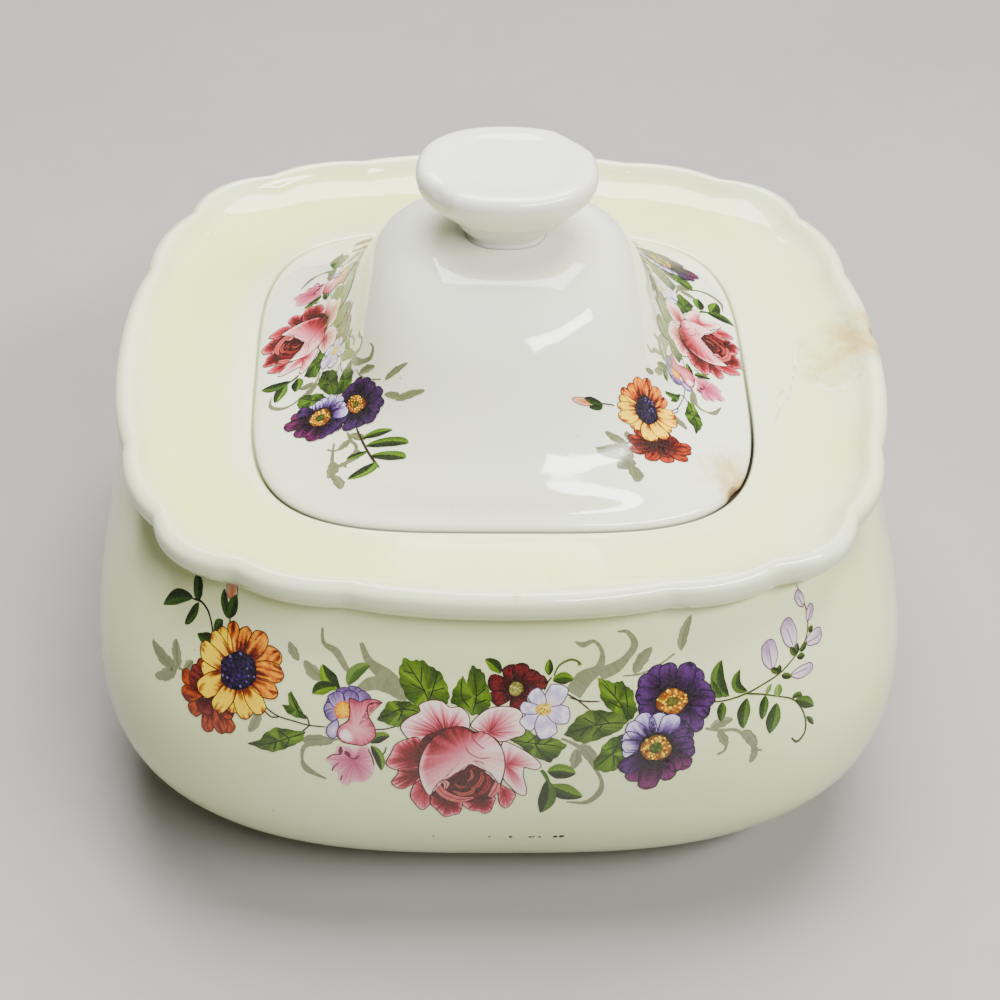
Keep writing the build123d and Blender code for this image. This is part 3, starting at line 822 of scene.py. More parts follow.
def paint_rose(spray):
    """The big pink rose in the middle of the garland."""
    white, pale, pink = (0.96, 0.90, 0.86), (0.90, 0.68, 0.70), (0.76, 0.40, 0.46)
    deep, dark = (0.50, 0.11, 0.15), (0.32, 0.03, 0.05)
    petal_blob(
        spray, ((-20.2, 18.6), (-20.3, 20), (-18.8, 21.6), (-16.8, 22.8), (-16.9, 24.2), (-14.8, 25.2),
                (-12.6, 25),
                (-11, 23.8), (-9, 23.8), (-7.6, 22.4), (-7.2, 20.4), (-8, 18), (-12, 16.6), (-16, 16),
                (-18.4, 16.4)),
        (-11.6, 17.8), [(0, dark), (0.28, deep), (0.48, pink), (0.7, pale), (0.92, white)], 9.0,
        streak=0.12,
    )
    petal_blob(
        spray, ((-7, 20), (-5.6, 22), (-3.6, 23.5), (-1, 24), (1.6, 23.6), (2.9, 22.4), (2.4, 20.6),
                (3.5, 19),
                (3, 17.8), (1.4, 17.2), (-0.8, 16.4), (-3.4, 17.2), (-5.8, 18.8)),
        (-3.4, 18.4), [(0, deep), (0.3, pink), (0.62, pale), (0.9, white)], 9.2, streak=0.12,
    )
    outer = [(0, dark), (0.35, (0.42, 0.07, 0.11)), (0.62, deep), (0.88, pink), (1, pale)]
    blush = [(0, (0.42, 0.07, 0.11)), (0.45, (0.68, 0.26, 0.32)), (0.8, pink), (1, pale)]
    petal_blob(
        spray, ((-17, 17), (-19.4, 16.8), (-21.4, 15.6), (-22.4, 13.4), (-23.3, 11.2), (-22.2, 9.9),
                (-20.2, 9.4),
                (-18, 9.4), (-16, 12)),
        (-16.8, 12.6), outer, 9.4, streak=0.13,
    )
    petal_blob(
        spray, ((-20.6, 10), (-21, 8.6), (-22.2, 6.6), (-21.6, 5.2), (-20, 4.7), (-18.6, 5.6), (-16.8, 7),
                (-16, 9.6)),
        (-17, 8.8), outer, 9.6, streak=0.13,
    )
    petal_blob(
        spray, ((-16.8, 7.6), (-18, 5.6), (-18.6, 2.8), (-17.8, 0.8), (-16.4, -1.3), (-15.2, -0.4),
                (-14.6, 2), (-15, 4.8)),
        (-15.8, 5), blush, 9.8,
    )
    petal_blob(
        spray, ((-14.6, 3), (-14.6, 0.4), (-13.6, -1), (-12.6, -2.6), (-11.6, -3.6), (-10.2, -3),
                (-9, -2.4), (-8.4, 0),
                (-9, 2), (-12, 3.2)),
        (-11.2, 1.6), outer, 9.8,
    )
    petal_blob(
        spray, ((-8.4, 0.8), (-7, -1.2), (-5, -1.8), (-4, -2.5), (-2.9, -1.8), (-2.4, 0), (-2, 2.4),
                (-3.4, 4), (-6.4, 2.8)),
        (-4.8, 1.8), outer, 10.0,
    )
    petal_blob(
        spray, ((-1.4, 6), (0, 5.2), (1.9, 3.4), (1.4, 1), (0.2, -0.8), (-1, 0.4), (-1.4, 2.6)),
        (-0.4, 4), blush, 9.0,
    )
    petal_blob(
        spray, ((-0.8, 16.2), (2, 15.2), (4.6, 13.4), (6.7, 11), (6, 9.8), (4.6, 10), (3.5, 10.2), (3.4, 8),
                (4, 5.2),
                (3.9, 3), (2.5, 3.4), (1, 5.2), (-0.6, 7.8), (-1, 12)),
        (0, 10.8), [(0, (0.60, 0.22, 0.27)), (0.3, pink), (0.6, pale), (0.88, white)], 9.2, streak=0.12,
    )

    def dark_paint(out, places):
        return np.ones(out.shape + (3,)) * np.array(dark) + spray.streaks(out.shape, 0.04)

    spray.blob(
        ((-17, 15.6), (-14, 18.6), (-9, 19.8), (-6, 18.6), (-2, 17), (-0.2, 12), (-0.8, 6), (-2.4, 2.4),
         (-6.4, 1), (-11, 1.6),
         (-14.6, 3), (-17, 8)), (-8, 9), dark_paint, 10.6,
    )
    for points, width, color in (
        (((-13.4, 6.6), (-12.8, 4.4), (-11, 2.6), (-8.6, 1.8), (-6.2, 2.4)), (0.8, 1.6, 1.9, 1.6, 0.5),
         (0.78, 0.47, 0.47)),
        (((-12.6, 7.2), (-11.6, 6.2), (-11.8, 4.8)), (0.4, 1.2, 0.4), (0.86, 0.62, 0.60)),
        (((-3, 2.6), (-2, 4.6), (-1.5, 7)), (0.9, 1.7, 0.8), (0.80, 0.52, 0.51)),
        (((-10.2, 4.2), (-8.6, 3.3), (-6.8, 3.8), (-6.2, 5)), (0.4, 0.9, 0.9, 0.4), (0.72, 0.42, 0.38)),
        (((-10, 6.2), (-8.8, 5.2), (-7.6, 5.6)), (0.3, 0.6, 0.3), (0.66, 0.38, 0.32)),
        (((-6.8, 9.6), (-6.6, 8), (-7.4, 6.8)), (0.3, 0.5, 0.3), (0.76, 0.50, 0.42)),
        (((-4.8, 9.2), (-4.7, 7.4), (-5.6, 5.6), (-6.8, 5)), (0.3, 0.8, 0.9, 0.4), (0.67, 0.32, 0.30)),
        (((-3.6, 8.2), (-3.4, 6), (-4.4, 4), (-6, 2.9)), (0.4, 0.9, 0.9, 0.4), (0.58, 0.22, 0.22)),
    ):
        spray.line(points, width, color, 11.2)
        spray.line(points, 0.16, dark, 11.6)

    def cup_paint(out, places):
        u, v = places[..., 0], places[..., 1]
        grain = spray.streaks(out.shape, 0.09)[..., 0]
        side = np.clip((-u - 7) / 9, 0, 1)
        shade = 0.08 + (v - 8.5) / 16.5 + 0.42 * side - 0.12 * np.clip((u + 5) / 5, 0, 1) + grain * out ** 2
        shade = shade - 0.5 * np.clip((out - 0.86) * 6, 0, 1) * np.clip((-u - 11) / 4, 0, 1) * (v < 16)
        shade = shade - 0.3 * np.exp(-(((u + 3.2) / 2.6) ** 2 + ((v - 15.5) / 2.2) ** 2))
        return ramp(shade, [(0, white), (0.15, (0.95, 0.84, 0.81)), (0.4, pale), (0.62, pink), (0.86, deep),
                            (1.05, dark)])

    spray.blob(
        ((-14.9, 3), (-16.2, 5.6), (-16.9, 9), (-16.6, 12.4), (-15.2, 15.8), (-12.6, 18.6), (-9.6, 19.7),
         (-7.3, 18.9),
         (-6.6, 18.2), (-5, 18.6), (-2.8, 17.4), (-1, 14.9), (-0.3, 11.6), (-0.5, 8.6), (-1.2, 6.2),
         (-2.2, 7.6),
         (-3.2, 9), (-4.6, 9.8), (-6, 10.7), (-7.2, 11), (-8.2, 9.8), (-9.8, 8.9), (-11.2, 7.6),
         (-12.8, 6.8), (-13.9, 5)),
        (-7.8, 13.6), cup_paint, 12.4, outline=PLUM, rings=26,
    )
    for points in (
        ((-8, 15.4), (-7.4, 14), (-6.2, 13), (-4.8, 12.5), (-3, 12.7)),
        ((-6.9, 18.4), (-6.4, 16.8), (-5.2, 15.4), (-4.2, 14.6)),
        ((-6.4, 12), (-5, 11.6), (-4.2, 11)), ((-12.4, 6.9), (-11, 7.8), (-9.6, 8.9), (-7.9, 10.6)),
    ):
        spray.line(points, 0.22, (0.55, 0.27, 0.32), 13.2)


def paint_small_flowers(spray):
    """The dark red flower and the white one over the rose's right petal."""
    flower(spray, (1.5, 27.6), (
        (107, 4.9, 1.5), (78, 5.2, 1.5), (38, 5.4, 1.5), (12, 6.2, 1.4), (-12, 4.2, 1.1), (-80, 4.9, 1.7),
        (208, 5.2, 1.7),
        (166, 5.4, 1.6),
    ), [(0, (0.16, 0.01, 0.03)), (0.5, (0.28, 0.02, 0.05)), (0.78, (0.50, 0.14, 0.17)),
        (1, (0.26, 0.03, 0.06))], 4.0,
        edge=(0.18, 0.02, 0.04), shape=(0.8, 0.3), streak=0.08)
    speckled_disc(
        spray, (1.6, 27.6), (1.4, 1.4), 0, (0.60, 0.58, 0.34),
        ((0.75, 0.70, 0.42), (0.45, 0.45, 0.25), (0.80, 0.76, 0.50)),
        7.0, 14, 0.22,
    )
    flower(spray, (7, 23.3), (
        (58, 6.0, 2.0), (122, 4.6, 1.6), (172, 4.6, 1.3), (224, 5.6, 1.7), (281, 6.2, 2.1), (345, 5.2, 2.0),
    ), [(0, (0.84, 0.74, 0.52)), (0.3, (0.94, 0.90, 0.92)), (0.6, (0.78, 0.75, 0.86)),
        (0.85, (0.97, 0.96, 0.96)),
        (1, (0.86, 0.84, 0.92))], 5.0, edge=(0.42, 0.32, 0.50), shape=(0.75, 0.3), streak=0.08)
    speckled_disc(
        spray, (6.9, 23.3), (1.5, 1.3), 0, (0.90, 0.80, 0.42),
        ((0.95, 0.88, 0.60), (0.80, 0.66, 0.25), (0.60, 0.50, 0.20)),
        8.4, 14, 0.22,
    )
    for points in (((10.4, 27), (13.2, 25.4), (16, 23)), ((11.8, 25.8), (14.6, 25), (17.8, 24.9))):
        spray.line(points, 0.3, STEM, 3.4)


def paint_right_leaves(spray):
    """Three large leaves beside the anemones, and the triple leaf under the rose's right side."""
    broad_leaf(
        spray, ((23.2, 20.4), (21.4, 21.8), (19.4, 23.4), (17.9, 25.4), (17.6, 27.4), (17.2, 29.6),
                (18.8, 29.2), (20.4, 28.6),
                (21.8, 29), (22.8, 27.8), (24, 27), (24.4, 24.8), (25, 23.2), (24.4, 21.6)),
        (21.4, 24.8), (((23.2, 20.6), (21.6, 24.4), (17.8, 29)), ((23.2, 21), (23, 24.4), (22.4, 28)),
                       ((22, 23.4), (19.2, 25)), ((20.6, 26), (20.6, 28.2))), 5.2,
    )
    broad_leaf(
        spray, ((23.2, 20.4), (21, 22.4), (18.6, 23), (16, 23.2), (13.8, 22), (12.4, 20.2), (11, 18),
                (12.8, 16.8), (14.8, 15.8),
                (17, 16.4), (19.2, 17.4), (21.4, 18.4)),
        (17, 19.6), (((23, 20.3), (19, 20.2), (14.6, 19.2), (11.4, 18)), ((19.6, 20.3), (17.4, 22.4)),
                     ((17, 20), (14.6, 21.6)), ((18.4, 20), (16.4, 17.4)), ((15.6, 19.4), (14, 17.4))), 5.4,
        light=(0.50, 0.58, 0.24),
    )
    broad_leaf(
        spray, ((22.8, 17.8), (20.4, 17.2), (18.6, 15.4), (18, 13.4), (17, 11.8), (17, 9.9), (19, 8.9),
                (21, 9.2), (22.6, 10.8),
                (23.2, 13), (23.6, 15.4)),
        (20.6, 13.2), (((22.8, 17.6), (20.8, 14), (17.4, 10.2)), ((21.6, 15.4), (19, 14.2)),
                       ((20.6, 13.6), (21, 10.2)),
                       ((21.8, 15.4), (22.8, 12.6))), 5.0,
    )
    for base, tip, half_width, bend in (((8, 9.2), (13.6, 8.6), 1.9, 0.05),
                                        ((8.6, 5.8), (15.2, 2.4), 2.0, -0.05)):
        leaf(spray, base, tip, half_width, 4.6, bend)
    leaf(spray, (8, 7), (7, -2.4), 1.7, 4.8, 0.08, light=(0.42, 0.52, 0.20))
    spray.line(((6.8, 9.6), (7.6, 8.4), (8.4, 6.4)), (0.6, 0.9, 0.6), LEAF, 4.4)


def paint_anemones(spray):
    """The two purple anemones with gold middles."""
    violet = [(0, (0.08, 0.02, 0.09)), (0.42, (0.16, 0.03, 0.18)), (0.65, (0.28, 0.11, 0.34)),
              (0.9, (0.42, 0.25, 0.49)),
              (1, (0.17, 0.05, 0.24))]
    violet_edge = (0.12, 0.05, 0.20)
    flower(spray, (31.6, 24.4), (
        (42, 7.9, 1.9), (66, 8.0, 1.9), (95, 7.6, 1.7), (120, 8.0, 1.9), (144, 8.0, 1.8), (168, 7.2, 1.9),
        (194, 6.6, 1.9),
        (18, 7.8, 1.9), (-4, 8.6, 1.7), (-26, 8.2, 1.8), (-46, 8.9, 1.7), (-68, 6.6, 1.9), (-90, 6.0, 1.9),
    ), violet, 6.0, edge=violet_edge, shape=(0.62, 0.28), streak=0.07)
    gold_dabs = ((0.90, 0.76, 0.10), (0.74, 0.54, 0.06), (0.94, 0.86, 0.36), (0.48, 0.28, 0.04))
    speckled_disc(spray, (31.7, 24.3), (3.2, 2.6), 0, (0.62, 0.42, 0.05), gold_dabs, 8.8, 52, 0.27,
                  rim=(0.18, 0.06, 0.08))
    speckled_disc(spray, (31.7, 24.3), (1.2, 0.9), 0, (0.46, 0.44, 0.16),
                  ((0.55, 0.52, 0.20), (0.36, 0.38, 0.14)), 9.8, 8, 0.2)
    frost = [(0, (0.10, 0.03, 0.10)), (0.40, (0.20, 0.08, 0.26)), (0.58, (0.52, 0.42, 0.64)),
             (0.8, (0.82, 0.78, 0.88)),
             (1, (0.88, 0.86, 0.92))]
    magenta = [(0, (0.10, 0.01, 0.07)), (0.42, (0.18, 0.03, 0.16)), (0.7, (0.38, 0.12, 0.33)),
               (0.9, (0.54, 0.24, 0.48)),
               (1, (0.30, 0.06, 0.20))]
    flower(spray, (28.8, 14.6), (
        (112, 8.2, 1.9), (133, 7.8, 1.7), (66, 7.8, 1.9), (88, 7.6, 1.7), (154, 7.0, 1.7), (175, 6.6, 1.6),
        (196, 6.4, 1.6),
    ), frost, 10.4, edge=(0.26, 0.16, 0.38), shape=(0.62, 0.28), streak=0.09)
    flower(spray, (28.8, 14.6), (
        (45, 7.8, 1.8), (25, 7.8, 1.7), (6, 7.6, 1.6), (-12, 8.0, 1.6), (222, 8.4, 1.9),
    ), violet, 10.8, edge=violet_edge, shape=(0.62, 0.28), streak=0.07)
    flower(spray, (28.8, 14.6), (
        (-36, 8.6, 1.8), (-66, 8.6, 1.8), (262, 10.4, 2.1), (240, 9.2, 1.8), (-50, 7.6, 1.6),
    ), magenta, 11.2, edge=violet_edge, shape=(0.7, 0.3), streak=0.07)
    speckled_disc(spray, (28.9, 14.6), (3.6, 3.4), 0, (0.14, 0.03, 0.08),
                  ((0.16, 0.04, 0.08), (0.20, 0.06, 0.10)), 13.4, 6, 0.3)
    speckled_disc(spray, (28.9, 14.5), (3.0, 2.9), 0, (0.62, 0.46, 0.06), gold_dabs, 14.2, 60, 0.27)
    speckled_disc(spray, (28.9, 14.5), (1.3, 1.3), 0, (0.34, 0.40, 0.10),
                  ((0.45, 0.50, 0.16), (0.26, 0.32, 0.08)), 15.2, 10, 0.22)


def paint_right_sprig(spray):
    """The long sprig at the right end, with lilac buds."""
    green = (0.32, 0.36, 0.18)
    spray.line(((39, 23.4), (42.5, 23.3), (46.5, 23.9), (50, 24.9), (54, 26.2), (57.5, 28.2)),
               (0.3, 0.35, 0.4, 0.35, 0.35, 0.3), green, 2.0)
    spray.line(((57.4, 28.2), (60, 30.2), (60.9, 33), (60.5, 36), (59, 39.5)), 0.3, (0.36, 0.34, 0.32), 2.0)
    spray.line(((46.5, 23.9), (50, 23), (53, 21.9), (56.4, 20.4), (58.4, 18.2), (59.6, 15.4), (59.6, 12.6),
                (58, 11), (56.6, 12.2)),
               (0.4, 0.35, 0.3, 0.3, 0.3, 0.35, 0.4, 0.6, 0.3), green, 2.0)
    for base, tip, half_width, bend in (
        ((41.5, 24), (39.4, 27.6), 0.9, 0.1), ((43, 24), (41.4, 31.2), 1.5, 0.22),
        ((46.8, 24.3), (45.2, 28.8), 1.0, 0.35),
        ((41.6, 23.1), (41.6, 19), 0.95, 0.0), ((46.7, 23), (46.2, 16.8), 1.3, -0.06),
        ((50.5, 22.7), (50, 17.9), 1.0, 0.0),
        ((53, 20.6), (51.8, 14.5), 1.5, 0.0), ((56.4, 20.5), (58.8, 20.2), 0.6, 0.2),
        ((57.2, 20), (61.6, 17.2), 1.1, 0.05),
        ((59.8, 15.8), (61.6, 13.4), 0.5, 0.05),
    ):
        leaf(spray, base, tip, half_width, 2.8, bend, light=(0.44, 0.54, 0.26), dark=(0.18, 0.26, 0.08))
    for base, tip, half_width in (((50.6, 22.8), (51.8, 24.6), 0.5), ((53.2, 21.6), (53.4, 24.2), 0.9)):
        leaf(spray, base, tip, half_width, 3.0, 0.0, light=(0.62, 0.68, 0.46), dark=(0.44, 0.52, 0.30))
    bud = [(0, (0.90, 0.86, 0.86)), (0.6, (0.84, 0.78, 0.82)), (1, (0.70, 0.60, 0.70))]
    for base, tip, half_width in (
        ((52, 27.2), (51, 32.6), 1.7), ((57, 29.6), (55, 34.8), 1.7), ((60, 29.4), (64.2, 29.4), 1.3),
        ((56.2, 25), (61.4, 25), 1.1),
        ((60.8, 32.8), (62.6, 34.8), 0.9), ((60.2, 35.4), (58.6, 38.2), 1.0),
    ):
        axis = np.subtract(tip, base)
        angle = math.degrees(math.atan2(axis[1], axis[0]))
        flower(spray, base, ((angle, float(np.hypot(*axis)), half_width),), bud, 2.6,
               edge=(0.50, 0.36, 0.48), shape=(0.6, 0.4))
        spray.line((base, np.add(base, axis * 0.75)), 0.2, (0.56, 0.40, 0.52), 3.4)
    for base, tip in (
        ((53.6, 26.2), (51.6, 27.4)), ((53.4, 26), (53.6, 27.6)), ((54, 25.6), (56.4, 24.6)),
        ((57.6, 28), (56, 30)),
        ((57.6, 28.2), (57.8, 30.2)), ((57.6, 27.8), (59.6, 27.4)), ((58.4, 28.4), (60.2, 29.6)),
        ((60.8, 31), (62, 31.6)),
    ):
        leaf(spray, base, tip, 0.6, 3.6, 0.0, light=(0.40, 0.46, 0.20), dark=(0.16, 0.22, 0.08))


def paint_short_ends(spray):
    """The ends of the lid's garlands: a bud beside the daisy, and a sprig below the anemones."""
    spray.line(((-59, 32), (-60.5, 33), (-62, 33.6)), 0.4, (0.22, 0.20, 0.12), 2.2)
    paint_tipped_bud(spray, (-61.6, 33.6), (-68.0, 36.0))
    spray.line(((38, 20.5), (44, 18.6), (50, 16.6), (56, 14.6)), 0.5, (0.32, 0.26, 0.14), 2.0)
    for base, tip, half_width, bend in (
        ((43, 19), (46.6, 24.4), 1.3, 0.1), ((46, 18), (53.6, 22.6), 1.7, 0.15),
        ((50, 16.6), (57.6, 18.8), 1.6, 0.1),
        ((53, 15.6), (55, 8.4), 1.7, 0.1), ((48, 17.2), (47.4, 13), 1.0, 0.0),
    ):
        leaf(spray, base, tip, half_width, 2.8, bend)
    for base, tip, half_width in (
        ((40, 31), (45, 35.5), 1.4), ((36, 31), (41.5, 32), 1.1), ((46, 10.5), (52, 6), 1.3),
        ((51, 7.5), (58, 4.6), 1.2),
        ((-70, 19), (-76, 17.6), 1.6), ((-72, 18), (-78, 12.4), 1.4), ((-70, 20), (-75, 23), 1.4),
    ):
        grey_leaf(spray, base, tip, half_width, 0.0, bend=0.08)
    spray.line(((-64, 21), (-70, 19), (-78, 12.6)), 0.35, GREY_LEAF, 0.6)
    spray.line(((40, 14), (46, 10.5), (52, 7), (57, 5)), (0.4, 0.8, 0.6, 0.4), GREY_LEAF, 0.6)


def paint_low_specks(spray):
    """A few dark specks fired in low on the tub, under the garland."""
    for place, radius in (
        ((-14, -11.2), 0.24), ((-2.8, -11.5), 0.28), ((1.4, -11.6), 0.42), ((5.3, -11.6), 0.38),
        ((6, -11.5), 0.3),
        ((7.3, -11.6), 0.36), ((10.4, -11.5), 0.52), ((11.6, -11.3), 0.58),
    ):
        spray.dot(place, radius, (0.16, 0.24, 0.22), 0.5)


def paint_garland(spray, small):
    """The whole garland, in mm from its middle; the back of the painting first."""
    if small:
        paint_short_ends(spray)
    else:
        paint_left_sprig(spray)
        paint_right_sprig(spray)
        paint_low_specks(spray)
    paint_grey_background(spray)
    paint_left_stems(spray)
    paint_right_leaves(spray)
    paint_rose_leaves(spray)
    paint_daisies(spray, (-60.5, 18.5) if small else (-58, 20.5))
    paint_viola_and_buds(spray)
    paint_small_flowers(spray)
    paint_rose(spray)
    paint_anemones(spray)


# ---- laying a print on a casting -----------------------------------------------------------------
class Chart:
    """Maps garland coordinates onto a casting: across along its rings, and up along its profile."""

    def __init__(self, rings, centre, zero_height):
        start = round(centre / 360 * RING_POINTS)
        reach = round(CHART_REACH * RING_POINTS)
        angles = (start + np.arange(-reach, reach + 1)) * 2 * np.pi / RING_POINTS
        self.grid = np.array([ring_points(ring, angles) for ring in rings])
        steps = np.linalg.norm(np.diff(self.grid, axis=1), axis=2)
        across = np.concatenate([np.zeros((len(rings), 1)), np.cumsum(steps, axis=1)], axis=1)
        self.across = across - across[:, reach:reach + 1]
        middle = self.grid[:, reach]
        self.up = np.concatenate([[0], np.cumsum(np.linalg.norm(np.diff(middle, axis=0), axis=1))])
        self.up -= self.up[np.argmin(np.abs(middle[:, 2] - zero_height))]
        along = np.gradient(self.grid, axis=1)
        rise = np.gradient(self.grid, axis=0)
        normal = np.cross(along, rise)
        self.normal = normal / np.linalg.norm(normal, axis=2, keepdims=True)

    def points(self, across, up, lift):
        """Points in mm for garland coordinates in mm, at a height over the glaze."""
        rows = np.clip(np.interp(up, self.up, np.arange(len(self.up))), 0, len(self.up) - 1.001)
        low = rows.astype(int)
        part = (rows - low)[:, None]
        columns = np.arange(self.across.shape[1])
        result, normal = np.zeros((len(up), 3)), np.zeros((len(up), 3))
        for side, share in ((low, 1 - part), (low + 1, part)):
            for row in np.unique(side):
                chosen = side == row
                place = np.interp(across[chosen], self.across[row], columns)
                left = np.clip(place.astype(int), 0, len(columns) - 2)
                rest = (place - left)[:, None]
                weight = share[chosen]
                for total, field in ((result, self.grid), (normal, self.normal)):
                    total[chosen] += weight * (field[row, left] * (1 - rest) + field[row, left + 1] * rest)
        return result + lift[:, None] * normal / np.linalg.norm(normal, axis=1, keepdims=True)


def deepened(colors, depth):
    """The painted colours as they look under a coat of glaze: a little darker and fuller."""
    grey = colors.mean(axis=1, keepdims=True)
    return np.clip(grey + (colors - grey) * 1.18, 0, 1) ** depth


def facing_out(places, faces):
    """Faces of a print, turned so that they all face away from the glaze."""
    faces = np.array(faces)
    ring = places[faces][..., :2]
    after = np.roll(ring, -1, axis=1)
    area = (ring[..., 0] * after[..., 1] - ring[..., 1] * after[..., 0]).sum(axis=1)
    faces[area < 0] = faces[area < 0][:, ::-1]
    return faces.tolist()


def print_mesh(name, chart, seed, scale, shift, small=False):
    """One garland laid on a casting by its chart, with its colours at the vertices."""
    spray = Spray(seed)
    paint_garland(spray, small)
    places = np.concatenate(spray.places)
    across = places[:, 0] * scale + shift[0]
    up = places[:, 1] * scale + shift[1]
    points = chart.points(across, up, PRINT_BASE + PRINT_LAYER * places[:, 2]) * MM
    mesh = bpy.data.meshes.new(name)
    mesh.from_pydata(points.tolist(), [], facing_out(places, spray.faces))
    colors = linear_color(deepened(np.concatenate(spray.colors),
                                   LID_PRINT_DEPTH if small else DISH_PRINT_DEPTH))
    paint = mesh.color_attributes.new("print", "FLOAT_COLOR", "POINT")
    paint.data.foreach_set("color", np.concatenate([colors, np.ones((len(colors), 1))], axis=1).ravel())
    mesh.shade_smooth()
    return mesh


# ---- materials ---------------------------------------------------------------------------------
class Nodes:
    """Small helper for wiring a material's node tree."""

    def __init__(self, name):
        self.material = bpy.data.materials.new(name)
        self.material.use_nodes = True
        self.tree = self.material.node_tree
        self.shader = self.tree.nodes["Principled BSDF"]
        self.place = self.tree.nodes.new("ShaderNodeTexCoord").outputs["Object"]

    def plug(self, socket, value):
        if isinstance(value, bpy.types.NodeSocket):
            self.tree.links.new(value, socket)
        else:
            socket.default_value = value

    def noise(self, scale, detail=3.0, rough=0.55, distortion=0.0):
        node = self.tree.nodes.new("ShaderNodeTexNoise")
        self.plug(node.inputs["Vector"], self.place)
        for name, value in (("Scale", scale), ("Detail", detail), ("Roughness", rough),
                            ("Distortion", distortion)):
            node.inputs[name].default_value = value
        return node.outputs["Fac"]

    def cells(self, scale, feature):
        node = self.tree.nodes.new("ShaderNodeTexVoronoi")
        node.feature = feature
        self.plug(node.inputs["Vector"], self.place)
        node.inputs["Scale"].default_value = scale
        return node.outputs["Distance"]

    def math(self, operation, first, second=0.0):
        node = self.tree.nodes.new("ShaderNodeMath")
        node.operation = operation
        self.plug(node.inputs[0], first)
        self.plug(node.inputs[1], second)
        return node.outputs[0]

    def fit(self, value, low, high, to_low=0.0, to_high=1.0):
        """Maps a range to another one, clamped at both ends."""
        node = self.tree.nodes.new("ShaderNodeMapRange")
        node.clamp = True
        self.plug(node.inputs["Value"], value)
        for name, number in (("From Min", low), ("From Max", high), ("To Min", to_low),
                             ("To Max", to_high)):
            node.inputs[name].default_value = number
        return node.outputs["Result"]

    def blend(self, share, first, second):
        node = self.tree.nodes.new("ShaderNodeMix")
        node.data_type = "RGBA"
        self.plug(node.inputs["Factor"], share)
        self.plug(node.inputs["A"], first)
        self.plug(node.inputs["B"], second)
        return node.outputs["Result"]

    def attribute(self, name):
        node = self.tree.nodes.new("ShaderNodeAttribute")
        node.attribute_name = name
        return node

    def bump(self, height, strength, distance):
        node = self.tree.nodes.new("ShaderNodeBump")
        node.inputs["Strength"].default_value = strength
        node.inputs["Distance"].default_value = distance
        self.plug(node.inputs["Height"], height)
        self.plug(self.shader.inputs["Normal"], node.outputs["Normal"])


def rgba(color):
    return (*linear_color(tuple(color)), 1.0)


def glaze_material(name, settings, tint):
    """Old glossy glaze: uneven tint, yellowed parts, stains, painted shade in the gaps, specks and faint
    crazing.
    """
    nodes = Nodes(name)
    drift = nodes.fit(nodes.noise(22, 4), 0.35, 0.68)
    warm = [channel * share for channel, share in zip(tint, (0.985, 0.972, 0.925))]
    color = nodes.blend(drift, rgba(tint), rgba(warm))
    patches = nodes.fit(nodes.noise(45, 5, 0.6, 0.4), 0.25, 0.7, 0.55, 1.0)
    yellow = nodes.math("MULTIPLY", nodes.attribute("yellowing").outputs["Fac"], patches)
    color = nodes.blend(nodes.math("MULTIPLY", yellow, settings.yellowing), color, rgba(settings.rim_tint))
    ragged = nodes.math("ADD", nodes.attribute("stain").outputs["Fac"],
                        nodes.fit(nodes.noise(260, 6, 0.65), 0.3, 0.7, -0.28, 0.28))
    brown = nodes.fit(ragged, 0.25, 0.95)
    color = nodes.blend(nodes.math("MULTIPLY", brown, 0.85), color, rgba(settings.stain_tint))
    # Painted shade: dark brown laid over the glaze in the gap round the lid and in the knob's join.
    color = nodes.blend(nodes.attribute("painted_shade").outputs["Fac"], color, rgba((0.24, 0.21, 0.17)))
    clay = nodes.attribute("chip").outputs["Fac"]
    chipped = nodes.fit(nodes.math("ADD", clay, nodes.fit(nodes.noise(700, 4), 0.3, 0.7, -0.2, 0.2)), 0.4,
                        0.7)
    color = nodes.blend(chipped, color, rgba((0.62, 0.50, 0.36)))
    cracks = nodes.fit(nodes.cells(95, "DISTANCE_TO_EDGE"), 0.0, 0.022, 1.0, 0.0)
    patchy = nodes.fit(nodes.noise(30, 2), 0.48, 0.66, 0.0, settings.crazing)
    crazed = nodes.math("MULTIPLY", cracks, patchy)
    color = nodes.blend(crazed, color, rgba((0.66, 0.60, 0.46)))
    dots = nodes.fit(nodes.cells(230, "F1"), 0.045, 0.075, 1.0, 0.0)
    sparse = nodes.math("GREATER_THAN", nodes.noise(75, 1), 0.62)
    specks = nodes.math("MULTIPLY", nodes.math("MULTIPLY", dots, sparse), settings.specks)
    color = nodes.blend(specks, color, rgba((0.36, 0.30, 0.24)))
    nodes.plug(nodes.shader.inputs["Base Color"], color)
    polish = nodes.fit(nodes.noise(140, 5), 0.3, 0.75, settings.polish * 0.8, settings.polish * 1.5)
    worn = nodes.math("MULTIPLY", chipped, 0.7)
    nodes.plug(nodes.shader.inputs["Roughness"], nodes.math("MAXIMUM", polish, worn))
    nodes.shader.inputs["IOR"].default_value = 1.52
    ripple = nodes.math("ADD", nodes.noise(55, 2), nodes.math("MULTIPLY", nodes.noise(420, 2), 0.06))
    pits = nodes.math("MULTIPLY", nodes.fit(nodes.cells(520, "F1"), 0.02, 0.10, -1.0, 0.0), 0.05)
    nodes.bump(nodes.math("ADD", ripple, pits), 0.35, 0.0006)
    return nodes.material


